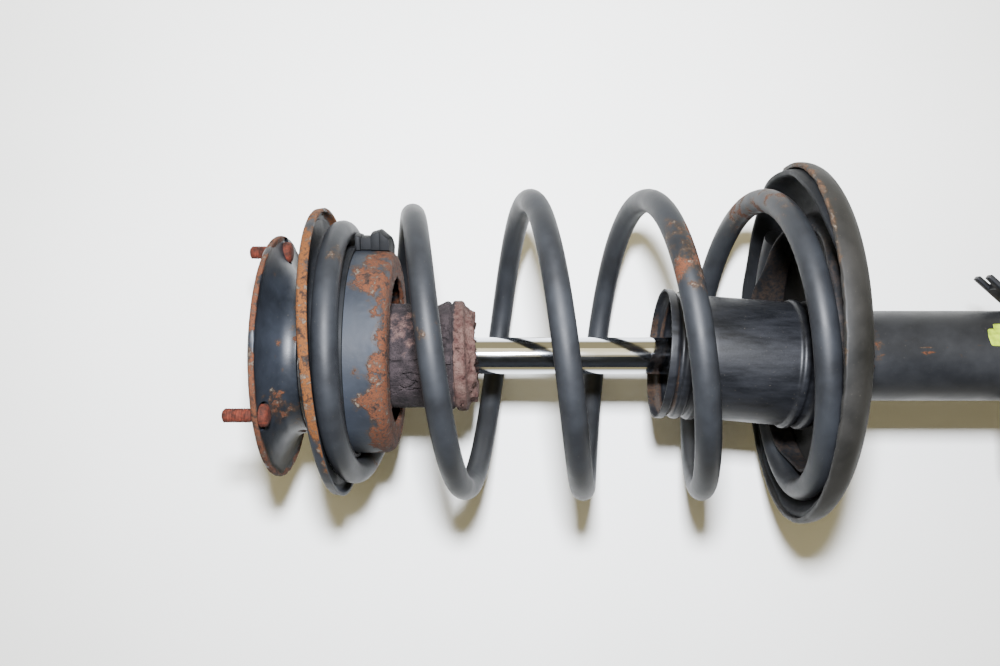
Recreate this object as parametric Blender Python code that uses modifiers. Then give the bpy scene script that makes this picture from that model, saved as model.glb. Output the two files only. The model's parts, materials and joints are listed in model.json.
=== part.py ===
"""Front strut assembly: top mount, steering bearing, coil spring, damper and brackets.

The strut lies on its lower spring seat with its rod axis along world +X. The top mount is at
-X and the knuckle bracket at +X. Lengths along the strut are stations, in millimetres from the
tips of the top mount's studs. World zero is under the middle of the strut, on the floor.

Every piece hangs on an empty that stands on the rod axis and is turned so that its local Z runs
along the strut. In that frame local Y is world Y and local X points down, along world -Z.
"""
import math

import bmesh
import bpy
from mathutils import Matrix, Vector

MM = 0.001
GAP = 0.35
BIG_STEPS = 40
MID_STEPS = 24
FINE_STEPS = 12

# The strut as a whole
LENGTH = 580.0
PAN_RADIUS = 107.0
PAN_SHIFT = 8.0
AXIS_HEIGHT = PAN_RADIUS * math.cos(math.pi / BIG_STEPS)
DOWN_ANGLE = math.pi / 2

# Top mount
STUD_CIRCLE = 62.0
STUD_RADIUS = 4.0
STUD_HEAD_RADIUS = 6.5
STUD_HEAD = 5.0
PLATE_FACE = 16.0
PLATE_SHEET = 4.0
PLATE_RADIUS = 72.0
PLATE_CURL = 2.6
PLATE_WAIST = 46.0
PLATE_BORE = 43.0
PLATE_END = 38.0
SLEEVE_RADIUS = 18.0
ROD_STUB_RADIUS = 7.0

# Steering bearing
BALL_COUNT = 10
BALL_RADIUS = 3.0
BALL_PLAY = 0.45
BALL_CIRCLE = 38.5
BALL_STATION = 43.0
RACE_INNER = 31.5
RACE_OUTER = 45.5
RACE_DEPTH = 4.4

# Upper spring seat
SEAT_STATION = 47.8
SEAT_SHEET = 2.2
SEAT_DISH = 1.7
SEAT_RADIUS = 86.0
SEAT_BORE = 33.0
SEAT_LEAN = math.tan(math.radians(4.0))
SEAT_SHIFT = 2.6
HUB_RADIUS = 60.7
HUB_SHEET = 2.5
HUB_END = 89.0
HUB_SHOULDER = 12.0
HUB_MOUTH = 44.0

# Coil spring
WIRE_RADIUS = 7.0
COIL_TOP = 57.3
COIL_PITCH = 69.0
COIL_FIRST = -0.22
COIL_LAST = 5.0
COIL_POINTS_PER_TURN = 20
COIL_RADIUS_TOP = 71.3
COIL_RADIUS = 85.5
COIL_SHIFT = 6.8
COIL_RISE = (0.0, 0.85)
COIL_FALL = (4.03, 4.69)

# Rod and what is on it
ROD_RADIUS = 11.0
ROD_TIP = 5.0
ROD_SHOULDER = 34.4
BUMP_STOP_TOP = 53.6
BUMP_STOP_END = 137.0
BUMP_STOP_RADIUS = 31.7
PISTON_TOP = 320.0
PISTON_LENGTH = 26.0
PISTON_BORE = 16.0

# Damper
TUBE_RADIUS = 27.0
TUBE_WALL = 2.0
TUBE_TOP = 262.0
TUBE_END = 572.0
GUIDE_TOP = 268.0
GUIDE_END = 281.0
PRESSURE_WALL = 2.0
PRESSURE_END = 556.0
CAP_RADIUS = 29.6

# Lower spring seat
PAN_LIP = 322.0
PAN_SHEET = 3.0
PAN_NECK_END = 360.0
PAN_LEAN = math.tan(math.radians(3.1))

# Dust tube
DUST_MOUTH = 245.5
DUST_LENGTH = 95.5
DUST_RADIUS = 38.4
DUST_WALL = 2.0
DUST_SHIFT = 1.5
DUST_LEAN = math.radians(4.8)

# Knuckle bracket
BRACKET_START = 484.0
BRACKET_END = 570.0
BRACKET_SHEET = 4.0
EAR_GAP = 40.0
EAR_REACH = 86.0
EAR_CORNER = 14.0
BOLT_REACH = 62.0
BOLT_STATIONS = (502.0, 552.0)
BOLT_HOLE = 7.1


def clear_scene():
    """Removes what the new file holds and makes the two collections."""
    for item in list(bpy.data.objects):
        bpy.data.objects.remove(item, do_unlink=True)
    collections = []
    for name in ("strut_assembly", "cutters"):
        collection = bpy.data.collections.new(name)
        bpy.context.scene.collection.children.link(collection)
        collections.append(collection)
    return collections


PARTS, CUTTERS = clear_scene()


def material(name, colour, roughness, metallic=0.0):
    """A Principled material with a plain colour."""
    made = bpy.data.materials.new(name)
    made.use_nodes = True
    shader = made.node_tree.nodes["Principled BSDF"]
    shader.inputs["Base Color"].default_value = (*colour, 1.0)
    shader.inputs["Roughness"].default_value = roughness
    shader.inputs["Metallic"].default_value = metallic
    return made


RUST = material("rusted_steel", (0.24, 0.09, 0.04), 0.9, 0.1)
BLACK_PAINT = material("black_paint", (0.03, 0.035, 0.045), 0.45)
CHROME = material("chrome", (0.8, 0.81, 0.83), 0.08, 1.0)
STEEL = material("plain_steel", (0.45, 0.45, 0.46), 0.4, 1.0)
RUBBER = material("black_rubber", (0.025, 0.025, 0.028), 0.7)
FOAM = material("aged_foam", (0.09, 0.05, 0.04), 0.95)
PLASTIC = material("black_plastic", (0.02, 0.02, 0.022), 0.5)
BRONZE = material("bronze", (0.45, 0.27, 0.1), 0.4, 1.0)


def axis_empty(name):
    """An empty on the rod axis whose local Z runs along the strut from station zero."""
    empty = bpy.data.objects.new(name, None)
    empty.location = (-LENGTH / 2 * MM, -PAN_SHIFT * MM, AXIS_HEIGHT * MM)
    empty.rotation_euler = (0.0, DOWN_ANGLE, 0.0)
    PARTS.objects.link(empty)
    return empty


TOP_MOUNT = axis_empty("top_mount_axis")
CAGE = axis_empty("bearing_cage_axis")
UPPER_SEAT = axis_empty("steering_axis")
DAMPER = axis_empty("damper_slide_axis")


def add_object(name, data, finish, parent):
    """Links a named piece under its body's empty."""
    made = bpy.data.objects.new(name, data)
    made.parent = parent
    data.materials.append(finish)
    PARTS.objects.link(made)
    return made


def shade(mesh):
    """Smooth shading with the true edges kept sharp."""
    mesh.shade_smooth()
    mesh.set_sharp_from_angle(angle=math.radians(35.0))


def arc(centre, radius, start, end, count):
    """Profile points on an arc, as (station, radius), with angles in degrees from +station."""
    points = []
    for index in range(count + 1):
        angle = math.radians(start + (end - start) * index / count)
        station = centre[0] + radius * math.cos(angle)
        points.append((station, centre[1] + radius * math.sin(angle)))
    return points


def outline_area(points):
    """Twice the signed area of a profile, with radius to the right and station up."""
    total = 0.0
    for (z1, r1), (z2, r2) in zip(points, points[1:] + points[:1]):
        total += r1 * z2 - r2 * z1
    return total


def turned(name, profile, steps, finish, parent, closed=True, offset=(0.0, 0.0)):
    """A turned piece from (station, radius) points, with a flat facet underneath."""
    points = list(profile)
    if outline_area(points) > 0.0:
        points.reverse()
    mesh = bpy.data.meshes.new(name)
    half_turn = math.pi / steps
    corners = []
    for station, radius in points:
        x = radius * math.cos(half_turn)
        y = radius * math.sin(half_turn)
        corners.append((x * MM, y * MM, station * MM))
    edges = [(index, index + 1) for index in range(len(corners) - 1)]
    if closed:
        edges.append((len(corners) - 1, 0))
    mesh.from_pydata(corners, edges, [])
    made = add_object(name, mesh, finish, parent)
    made.location = (offset[0] * MM, offset[1] * MM, 0.0)
    screw = made.modifiers.new("turn", "SCREW")
    screw.axis = "Z"
    screw.angle = 2.0 * math.pi
    screw.steps = steps
    screw.render_steps = steps
    screw.use_merge_vertices = True
    screw.merge_threshold = 0.00001
    screw.use_smooth_shade = True
    return made


def lofted(name, rings, lean, shift, finish, parent):
    """A closed ring of unlike sections: each (station, radius, share) ring takes its share of
    the lean, given as rise per unit of (local X, local Y), and of the sideways shift."""
    mesh = bpy.data.meshes.new(name)
    shape = bmesh.new()
    loops = []
    for station, radius, share in rings:
        loop = []
        for step in range(BIG_STEPS):
            angle = 2.0 * math.pi * (step + 0.5) / BIG_STEPS
            x = radius * math.cos(angle)
            y = radius * math.sin(angle)
            rise = share * (lean[0] * x + lean[1] * y)
            place = Vector((x, y + share * shift, station + rise))
            loop.append(shape.verts.new(place * MM))
        loops.append(loop)
    for first, second in zip(loops, loops[1:] + loops[:1]):
        for step in range(BIG_STEPS):
            following = (step + 1) % BIG_STEPS
            corners = (first[step], first[following], second[following], second[step])
            shape.faces.new(corners)
    bmesh.ops.recalc_face_normals(shape, faces=shape.faces)
    shape.to_mesh(mesh)
    shape.free()
    shade(mesh)
    return add_object(name, mesh, finish, parent)


def extruded(name, outline, low, high, placing, finish, parent):
    """A flat outline drawn in local XY, pushed from low to high along Z, then placed."""
    mesh = bpy.data.meshes.new(name)
    shape = bmesh.new()
    corners = [shape.verts.new((x * MM, y * MM, low * MM)) for x, y in outline]
    face = shape.faces.new(corners)
    grown = bmesh.ops.extrude_face_region(shape, geom=[face])
    moved = [item for item in grown["geom"] if isinstance(item, bmesh.types.BMVert)]
    bmesh.ops.translate(shape, verts=moved, vec=(0.0, 0.0, (high - low) * MM))
    bmesh.ops.transform(shape, matrix=placing, verts=shape.verts)
    bmesh.ops.recalc_face_normals(shape, faces=shape.faces)
    shape.to_mesh(mesh)
    shape.free()
    shade(mesh)
    return add_object(name, mesh, finish, parent)


def rod_cutter(name, radius, length, placing, parent, segments=FINE_STEPS):
    """A cylinder that cuts a round hole."""
    mesh = bpy.data.meshes.new(name)
    shape = bmesh.new()
    bmesh.ops.create_cone(
        shape,
        cap_ends=True,
        segments=segments,
        radius1=radius * MM,
        radius2=radius * MM,
        depth=length * MM,
        matrix=placing,
    )
    shape.to_mesh(mesh)
    shape.free()
    return as_cutter(name, mesh, parent)


def box_mesh(name, low, high, turn=0.0):
    """A box between two corners, turned about its own middle in the local YZ plane."""
    mesh = bpy.data.meshes.new(name)
    shape = bmesh.new()
    middle = [(a + b) / 2 * MM for a, b in zip(low, high)]
    size = [(b - a) * MM for a, b in zip(low, high)]
    placing = Matrix.Translation(middle) @ Matrix.Rotation(turn, 4, "X")
    placing = placing @ Matrix.Diagonal((*size, 1.0))
    bmesh.ops.create_cube(shape, size=1.0, matrix=placing)
    shape.to_mesh(mesh)
    shape.free()
    return mesh


def as_cutter(name, mesh, parent):
    """A mesh kept out of the model and used only to shape a piece."""
    cutter = bpy.data.objects.new(name, mesh)
    cutter.parent = parent
    cutter.hide_render = True
    cutter.display_type = "WIRE"
    CUTTERS.objects.link(cutter)
    return cutter


def boolean(target, cutter, operation="DIFFERENCE"):
    """Cuts or joins with the exact solver."""
    step = target.modifiers.new(cutter.name, "BOOLEAN")
    step.operation = operation
    step.solver = "EXACT"
    step.object = cutter


def along(x, y, station):
    """A matrix that puts a cylinder's middle at a local place, still along the strut."""
    return Matrix.Translation(Vector((x, y, station)) * MM)


def around(angle, radius):
    """Local X and Y at an angle from world +Y toward world +Z."""
    return -radius * math.sin(angle), radius * math.cos(angle)


def add_mount_plate():
    """The spool-shaped top plate, with a hole and a pocket at each stud."""
    rim_back = PLATE_FACE + PLATE_SHEET
    waist = [(rim_back + 2.0, 60.0), (rim_back + 5.0, 53.0), (rim_back + 9.0, 48.0)]
    profile = [(PLATE_FACE, 32.0), (PLATE_FACE, 64.0)]
    profile += [(PLATE_FACE + PLATE_CURL, PLATE_RADIUS), (rim_back + 1.9, PLATE_RADIUS)]
    profile += [(rim_back + 0.9, 67.0)] + waist
    profile += [(PLATE_END - 4.0, PLATE_WAIST), (PLATE_END, PLATE_WAIST)]
    profile += [(PLATE_END, PLATE_BORE), (rim_back - 1.0, PLATE_BORE), (rim_back - 1.0, 32.0)]
    plate = turned("mount_plate", profile, BIG_STEPS, RUST, TOP_MOUNT)
    for index in range(3):
        x, y = around(2.0 * math.pi * index / 3, STUD_CIRCLE)
        hole = along(x, y, PLATE_FACE)
        boolean(plate, rod_cutter(f"stud_hole_{index + 1}", STUD_RADIUS + GAP, 20.0, hole, TOP_MOUNT))
        pocket = along(x, y, rim_back + 10.0)
        boolean(plate, rod_cutter(f"stud_pocket_{index + 1}", 8.0, 20.0, pocket, TOP_MOUNT))


def add_studs():
    """Three studs through the plate, heads inside."""
    head_face = PLATE_FACE + PLATE_SHEET + GAP
    profile = [
        (0.0, 0.0),
        (0.0, STUD_RADIUS - 0.8),
        (0.8, STUD_RADIUS),
        (head_face, STUD_RADIUS),
        (head_face, STUD_HEAD_RADIUS),
        (head_face + STUD_HEAD - 1.5, STUD_HEAD_RADIUS),
        (head_face + STUD_HEAD, STUD_HEAD_RADIUS - 2.0),
        (head_face + STUD_HEAD, 0.0),
    ]
    for index in range(3):
        offset = around(2.0 * math.pi * index / 3, STUD_CIRCLE)
        name = f"mount_stud_{index + 1}"
        turned(name, profile, FINE_STEPS, RUST, TOP_MOUNT, closed=False, offset=offset)


def add_mount_centre():
    """The rubber ring, the steel cup in its middle, and the washer and nut in the cup."""
    top = PLATE_FACE + PLATE_SHEET - 1.0 + GAP
    rubber = [
        (top, 31.0),
        (top, PLATE_BORE - GAP),
        (PLATE_END - 1.0, PLATE_BORE - GAP),
        (PLATE_END - 1.0, 39.0),
        (PLATE_END - 5.0, 30.0),
        (PLATE_END - 5.0, SLEEVE_RADIUS + GAP),
        (22.0, SLEEVE_RADIUS + GAP),
        (24.0, 25.0),
    ]
    turned("mount_rubber", rubber, MID_STEPS, RUBBER, TOP_MOUNT)
    bore = ROD_STUB_RADIUS + 0.4
    cup = [
        (20.0, SLEEVE_RADIUS),
        (34.0, SLEEVE_RADIUS),
        (34.0, bore),
        (31.0, bore),
        (31.0, SLEEVE_RADIUS - 2.2),
        (20.0, SLEEVE_RADIUS - 2.2),
    ]
    turned("mount_sleeve", cup, MID_STEPS, STEEL, TOP_MOUNT)
    washer = [(28.4, bore), (28.4, 15.2), (30.6, 15.2), (30.6, bore)]
    turned("rod_washer", washer, FINE_STEPS, STEEL, TOP_MOUNT)
    add_rod_nut(bore)


def add_rod_nut(bore):
    """A hexagon nut, bored for the rod's stub."""
    mesh = bpy.data.meshes.new("rod_nut")
    shape = bmesh.new()
    bmesh.ops.create_cone(
        shape,
        cap_ends=True,
        segments=6,
        radius1=12.1 * MM,
        radius2=12.1 * MM,
        depth=11.0 * MM,
        matrix=along(0.0, 0.0, 22.5),
    )
    shape.to_mesh(mesh)
    shape.free()
    nut = add_object("rod_nut", mesh, STEEL, TOP_MOUNT)
    boolean(nut, rod_cutter("nut_bore", bore, 20.0, along(0.0, 0.0, 22.5), TOP_MOUNT))


def race_profile(face, side):
    """A bearing race with a groove for the balls; side is +1 for the race above the balls."""
    groove = BALL_RADIUS + BALL_PLAY
    land = BALL_STATION - side
    reach = math.sqrt(groove**2 - 1.0)
    turn = math.degrees(math.atan2(reach, 1.0))
    start = 180.0 if side > 0 else 0.0
    sweep = arc((BALL_STATION, BALL_CIRCLE), groove, start + side * turn, start - side * turn, 4)
    if sweep[0][1] < sweep[-1][1]:
        sweep.reverse()
    back = [(land, RACE_INNER), (face, RACE_INNER), (face, RACE_OUTER), (land, RACE_OUTER)]
    return back + sweep


def add_bearing():
    """Two races, a cage and its balls."""
    upper_face = BALL_STATION - RACE_DEPTH - 0.2
    turned("bearing_upper_race", race_profile(upper_face, 1.0), BIG_STEPS, STEEL, TOP_MOUNT)
    lower_face = BALL_STATION + RACE_DEPTH
    turned("bearing_lower_race", race_profile(lower_face, -1.0), BIG_STEPS, STEEL, UPPER_SEAT)
    low = BALL_STATION - 0.6
    high = BALL_STATION + 0.6
    ring = [(low, 33.0), (low, 44.0), (high, 44.0), (high, 33.0)]
    cage = turned("bearing_cage", ring, MID_STEPS, PLASTIC, CAGE)
    for index in range(BALL_COUNT):
        x, y = around(2.0 * math.pi * index / BALL_COUNT, BALL_CIRCLE)
        place = along(x, y, BALL_STATION)
        hole = rod_cutter(f"ball_hole_{index + 1}", BALL_RADIUS + BALL_PLAY, 5.0, place, CAGE)
        boolean(cage, hole)
        add_ball(index, place)


def add_ball(index, place):
    """One bearing ball."""
    name = f"bearing_ball_{index + 1:02d}"
    mesh = bpy.data.meshes.new(name)
    shape = bmesh.new()
    bmesh.ops.create_icosphere(shape, subdivisions=1, radius=BALL_RADIUS * MM, matrix=place)
    shape.to_mesh(mesh)
    shape.free()
    shade(mesh)
    add_object(name, mesh, STEEL, CAGE)


def share_between(radius, start, end):
    """How much of a lean a ring takes: none inside start, all of it outside end."""
    share = (radius - start) / (end - start)
    return min(max(share, 0.0), 1.0)


def add_upper_seat():
    """The pressed flange, which leans to follow the spring, and the cup inside the first coil."""
    top = SEAT_STATION
    under = top + SEAT_SHEET
    outline = [
        (top, SEAT_BORE),
        (top, 49.0),
        (top - SEAT_DISH, 64.0),
        (top - SEAT_DISH, 80.0),
        (top, SEAT_RADIUS - 0.8),
        (top + 5.2, SEAT_RADIUS),
        (top + 5.2, SEAT_RADIUS - 2.4),
        (top + 1.8, SEAT_RADIUS - 3.4),
        (under - SEAT_DISH, 79.0),
        (under - SEAT_DISH, 64.0),
        (under, 49.0),
        (under, SEAT_BORE),
    ]
    rings = [(station, radius, share_between(radius, 49.0, 64.0)) for station, radius in outline]
    lofted("upper_spring_seat", rings, (0.0, -SEAT_LEAN), SEAT_SHIFT, RUST, UPPER_SEAT)
    shoulder = (HUB_END - HUB_SHOULDER, HUB_RADIUS - HUB_SHOULDER)
    start = under + GAP
    cup = [(start, SEAT_BORE + 1.0), (start, 45.0), (55.8, 57.5), (57.5, HUB_RADIUS)]
    cup += arc(shoulder, HUB_SHOULDER, 90.0, 0.0, 4)
    cup += [(HUB_END, HUB_MOUTH), (HUB_END - HUB_SHEET, HUB_MOUTH)]
    cup += arc(shoulder, HUB_SHOULDER - HUB_SHEET, 0.0, 90.0, 3)
    inner = HUB_RADIUS - HUB_SHEET
    cup += [(59.0, inner), (57.5, inner - 2.6), (start + HUB_SHEET, 44.0)]
    cup += [(start + HUB_SHEET, SEAT_BORE + 1.0)]
    turned("spring_hub", cup, BIG_STEPS, RUST, UPPER_SEAT, offset=(0.0, SEAT_SHIFT))


def add_upper_pad():
    """The rubber pad: a thin leaning flange, a sleeve round the cup and a block at one side."""
    low = SEAT_STATION + SEAT_SHEET - SEAT_DISH + GAP
    high = low + 1.1
    inner = HUB_RADIUS + 0.4
    outline = [
        (low, 66.0),
        (low, 79.0),
        (high, 79.0),
        (high, 66.5),
        (high + 5.0, 63.0),
        (76.0, 63.0),
        (76.0, inner),
        (60.0, inner),
        (high - 0.2, 64.2),
    ]
    shares = (1.0, 1.0, 1.0, 1.0, 0.6, 0.0, 0.0, 0.3, 0.9)
    rings = [(station, radius, share) for (station, radius), share in zip(outline, shares)]
    pad = lofted("upper_spring_pad", rings, (0.0, -SEAT_LEAN), 0.0, RUBBER, UPPER_SEAT)
    half_angle = math.radians(13.0)
    outer = []
    inner_side = []
    for index in range(5):
        angle = half_angle * (index / 2.0 - 1.0)
        outer.append(around(angle, 73.5))
        inner_side.append(around(angle, 62.0))
    outline = outer + inner_side[::-1]
    block = extruded("pad_block", outline, 65.0, 85.0, Matrix.Identity(4), RUBBER, UPPER_SEAT)
    PARTS.objects.unlink(block)
    CUTTERS.objects.link(block)
    block.hide_render = True
    block.display_type = "WIRE"
    boolean(pad, block, "UNION")
    for piece in (pad, block):
        piece.location.y = SEAT_SHIFT * MM


def ease_in(turn, start, end):
    """The integral of a slope that eases from none to one between start and end."""
    span = end - start
    share = min(max((turn - start) / span, 0.0), 1.0)
    return span * (share**3 - share**4 / 2) + max(turn - end, 0.0)


def ease(value, start, end):
    """A smooth step from none to one."""
    share = min(max((value - start) / (end - start), 0.0), 1.0)
    return share * share * (3.0 - 2.0 * share)


def coil_point(turn):
    """The wire's centre after a number of turns from its highest point on the world +Y side."""
    angle = 2.0 * math.pi * turn
    widen = ease(turn, 0.4, 1.6)
    radius = COIL_RADIUS_TOP + (COIL_RADIUS - COIL_RADIUS_TOP) * widen
    x, y = around(angle, radius)
    station = COIL_TOP + COIL_PITCH * (ease_in(turn, *COIL_RISE) - ease_in(turn, *COIL_FALL))
    station += PAN_LEAN * x * ease(turn, 3.6, 4.3)
    shift = SEAT_SHIFT + (COIL_SHIFT - SEAT_SHIFT) * widen
    return Vector((x, y + shift, station))


def add_coil_spring():
    """The coil spring, wound from a straight wire."""
    curve = bpy.data.curves.new("coil_spring", "CURVE")
    curve.dimensions = "3D"
    curve.bevel_depth = WIRE_RADIUS * MM
    curve.bevel_resolution = 2
    curve.use_fill_caps = True
    spline = curve.splines.new("POLY")
    count = round((COIL_LAST - COIL_FIRST) * COIL_POINTS_PER_TURN)
    spline.points.add(count)
    for index, point in enumerate(spline.points):
        turn = COIL_FIRST + (COIL_LAST - COIL_FIRST) * index / count
        point.co = (*(coil_point(turn) * MM), 1.0)
    add_object("coil_spring", curve, BLACK_PAINT, UPPER_SEAT)


def add_rod():
    """The chromed rod with a threaded stub at each end."""
    end = PISTON_TOP + PISTON_LENGTH + 11.0
    profile = [
        (ROD_TIP, 0.0),
        (ROD_TIP, ROD_STUB_RADIUS - 1.0),
        (ROD_TIP + 1.0, ROD_STUB_RADIUS),
        (ROD_SHOULDER, ROD_STUB_RADIUS),
        (ROD_SHOULDER, ROD_RADIUS),
        (PISTON_TOP - GAP, ROD_RADIUS),
        (PISTON_TOP - GAP, 6.0),
        (end, 6.0),
        (end, 0.0),
    ]
    turned("piston_rod", profile, MID_STEPS, CHROME, TOP_MOUNT, closed=False)


def add_bump_stop():
    """The foam bump stop, its bell and its moulded end ring."""
    bore = ROD_RADIUS + 0.7
    end = BUMP_STOP_END
    outline = [
        (BUMP_STOP_TOP, bore),
        (BUMP_STOP_TOP, BUMP_STOP_RADIUS),
        (end - 27.0, BUMP_STOP_RADIUS),
        (end - 24.0, 29.5),
        (end - 17.0, 33.6),
        (end - 14.0, 31.0),
        (end - 13.0, 34.0),
        (end - 6.5, 34.3),
        (end - 5.0, 29.0),
        (end, 28.5),
        (end, bore + 1.0),
        (end - 4.0, bore),
    ]
    turned("bump_stop", outline, MID_STEPS, FOAM, TOP_MOUNT)


def ring(name, low, high, inner, outer, steps, finish, parent):
    """A plain turned ring."""
    profile = [(low, inner), (low, outer), (high, outer), (high, inner)]
    return turned(name, profile, steps, finish, parent)


def add_piston():
    """The rebound stop under the rod guide, and the piston with its band and nut."""
    guide_under = GUIDE_END + 6.0
    stop_inner = ROD_RADIUS + GAP
    ring("rebound_stop", guide_under + 0.5, guide_under + 9.0, stop_inner, 14.5, FINE_STEPS, STEEL, TOP_MOUNT)
    top = PISTON_TOP
    end = PISTON_TOP + PISTON_LENGTH
    outer = PISTON_BORE - 0.5
    groove = outer - 1.8
    body = [
        (top, 6.4),
        (top, outer),
        (top + 5.0, outer),
        (top + 5.0, groove),
        (end - 5.0, groove),
        (end - 5.0, outer),
        (end, outer),
        (end, 6.4),
    ]
    turned("piston", body, FINE_STEPS, STEEL, TOP_MOUNT)
    band_low = top + 5.0 + GAP
    ring("piston_band", band_low, end - 5.0 - GAP, groove + GAP, outer + 0.1, FINE_STEPS, BRONZE, TOP_MOUNT)
    ring("piston_nut", end + GAP, end + 9.0, 6.4, 9.5, 12, STEEL, TOP_MOUNT)


def add_damper_tube():
    """The outer tube, its crimped top cap and its domed bottom cap."""
    inner = TUBE_RADIUS - TUBE_WALL
    ring("damper_tube", TUBE_TOP, TUBE_END, inner, TUBE_RADIUS, MID_STEPS, BLACK_PAINT, DAMPER)
    top = TUBE_TOP - GAP
    skirt = TUBE_RADIUS + 0.4
    cap = [
        (top - 2.5, 14.0),
        (top - 2.5, CAP_RADIUS - 2.0),
        (top, CAP_RADIUS),
        (top + 18.0, CAP_RADIUS),
        (top + 18.0, skirt),
        (top, skirt),
        (top, 14.0),
    ]
    turned("bump_cap", cap, MID_STEPS, STEEL, DAMPER)
    low = TUBE_END + GAP
    dome = [(low, 0.0), (low, TUBE_RADIUS), (low + 2.5, TUBE_RADIUS), (LENGTH - 2.5, 22.0)]
    dome += [(LENGTH, 14.0), (LENGTH, 0.0)]
    turned("tube_end_cap", dome, MID_STEPS, BLACK_PAINT, DAMPER, closed=False)


def add_damper_inside():
    """The seal, the guide with its bush, the pressure tube and the base valve."""
    tube_bore = TUBE_RADIUS - TUBE_WALL - GAP
    rod_bore = ROD_RADIUS + GAP
    ring("rod_seal", TUBE_TOP + GAP, GUIDE_TOP - GAP, rod_bore, tube_bore, MID_STEPS, RUBBER, DAMPER)
    spigot = PISTON_BORE - 0.4
    guide_bore = rod_bore + 2.6
    spigot_end = GUIDE_END + 6.0
    guide = [
        (GUIDE_TOP, guide_bore),
        (GUIDE_TOP, tube_bore),
        (GUIDE_END, tube_bore),
        (GUIDE_END, spigot),
        (spigot_end, spigot),
        (spigot_end, guide_bore),
    ]
    turned("rod_guide", guide, MID_STEPS, STEEL, DAMPER)
    bush_outer = guide_bore - GAP
    ring("guide_bush", GUIDE_TOP + 1.0, spigot_end - 1.0, rod_bore, bush_outer, MID_STEPS, BRONZE, DAMPER)
    pressure_outer = PISTON_BORE + PRESSURE_WALL
    ring("pressure_tube", GUIDE_END + GAP, PRESSURE_END, PISTON_BORE, pressure_outer, MID_STEPS, STEEL, DAMPER)
    foot = PRESSURE_END + GAP
    valve = [
        (foot - 9.0, 0.0),
        (foot - 9.0, PISTON_BORE - 0.4),
        (foot, PISTON_BORE - 0.4),
        (foot, 22.0),
        (foot + 8.0, 22.0),
        (foot + 8.0, 0.0),
    ]
    turned("base_valve", valve, FINE_STEPS, STEEL, DAMPER, closed=False)


def add_lower_seat():
    """The deep spring pan, offset and leaning from its neck on the tube to its lip."""
    outer = PAN_RADIUS
    inner = outer - PAN_SHEET
    lip = PAN_LIP
    outline = [
        (lip, outer),
        (lip + 6.0, outer),
        (lip + 11.5, 104.5),
        (lip + 16.5, 98.5),
        (lip + 19.8, 91.0),
        (lip + 21.5, 80.0),
        (lip + 24.5, 60.0),
        (lip + 29.0, 40.0),
        (lip + 31.5, 32.0),
        (PAN_NECK_END, 30.6),
        (PAN_NECK_END, TUBE_RADIUS + 0.5),
        (lip + 25.5, TUBE_RADIUS + 0.5),
        (lip + 25.5, 38.5),
        (lip + 21.4, 60.0),
        (lip + 18.4, 79.0),
        (lip + 16.7, 89.8),
        (lip + 13.8, 96.6),
        (lip + 9.6, 101.6),
        (lip + 5.0, inner),
        (lip, inner),
    ]
    rings = [(station, radius, share_between(radius, 36.0, 88.0)) for station, radius in outline]
    lofted("lower_spring_seat", rings, (PAN_LEAN, 0.0), PAN_SHIFT, BLACK_PAINT, DAMPER)


def add_lower_pad():
    """The rubber pad in the pan, with a groove for the last coil."""
    lip = PAN_LIP
    outline = [
        (lip + 2.5, 103.5),
        (lip + 4.7, 103.5),
        (lip + 9.2, 101.1),
        (lip + 13.4, 96.2),
        (lip + 16.3, 89.5),
        (lip + 17.9, 79.0),
        (lip + 18.3, 74.0),
        (lip + 7.5, 74.0),
        (lip + 7.5, 76.6),
        (lip + 14.9, 78.4),
        (lip + 14.9, 89.0),
        (lip + 11.5, 93.6),
        (lip + 7.0, 96.7),
        (lip + 2.5, 100.4),
    ]
    rings = [(station, radius, share_between(radius, 36.0, 88.0)) for station, radius in outline]
    lofted("lower_spring_pad", rings, (PAN_LEAN, 0.0), PAN_SHIFT, RUBBER, DAMPER)


def add_dust_tube():
    """The loose plastic dust tube, with grooves at its mouth and ribs at its other end."""
    outer = DUST_RADIUS
    groove = outer - 1.2
    profile = [(0.0, outer - 0.6)]
    for index in range(3):
        start = 1.0 + 8.0 * index
        profile += [(start, outer), (start + 4.5, outer), (start + 6.0, groove)]
    profile += [(26.0, groove), (DUST_LENGTH - 20.0, groove)]
    for index in range(2):
        start = DUST_LENGTH - 18.0 + 9.0 * index
        profile += [(start, outer), (start + 5.0, outer), (start + 7.0, groove)]
    inner = DUST_RADIUS - DUST_WALL
    profile += [(DUST_LENGTH, groove), (DUST_LENGTH, inner), (0.0, inner)]
    tube = turned("dust_tube", profile, MID_STEPS, PLASTIC, DAMPER)
    tube.location = (0.0, DUST_SHIFT * MM, DUST_MOUTH * MM)
    tube.rotation_euler = (DUST_LEAN, 0.0, 0.0)


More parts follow.
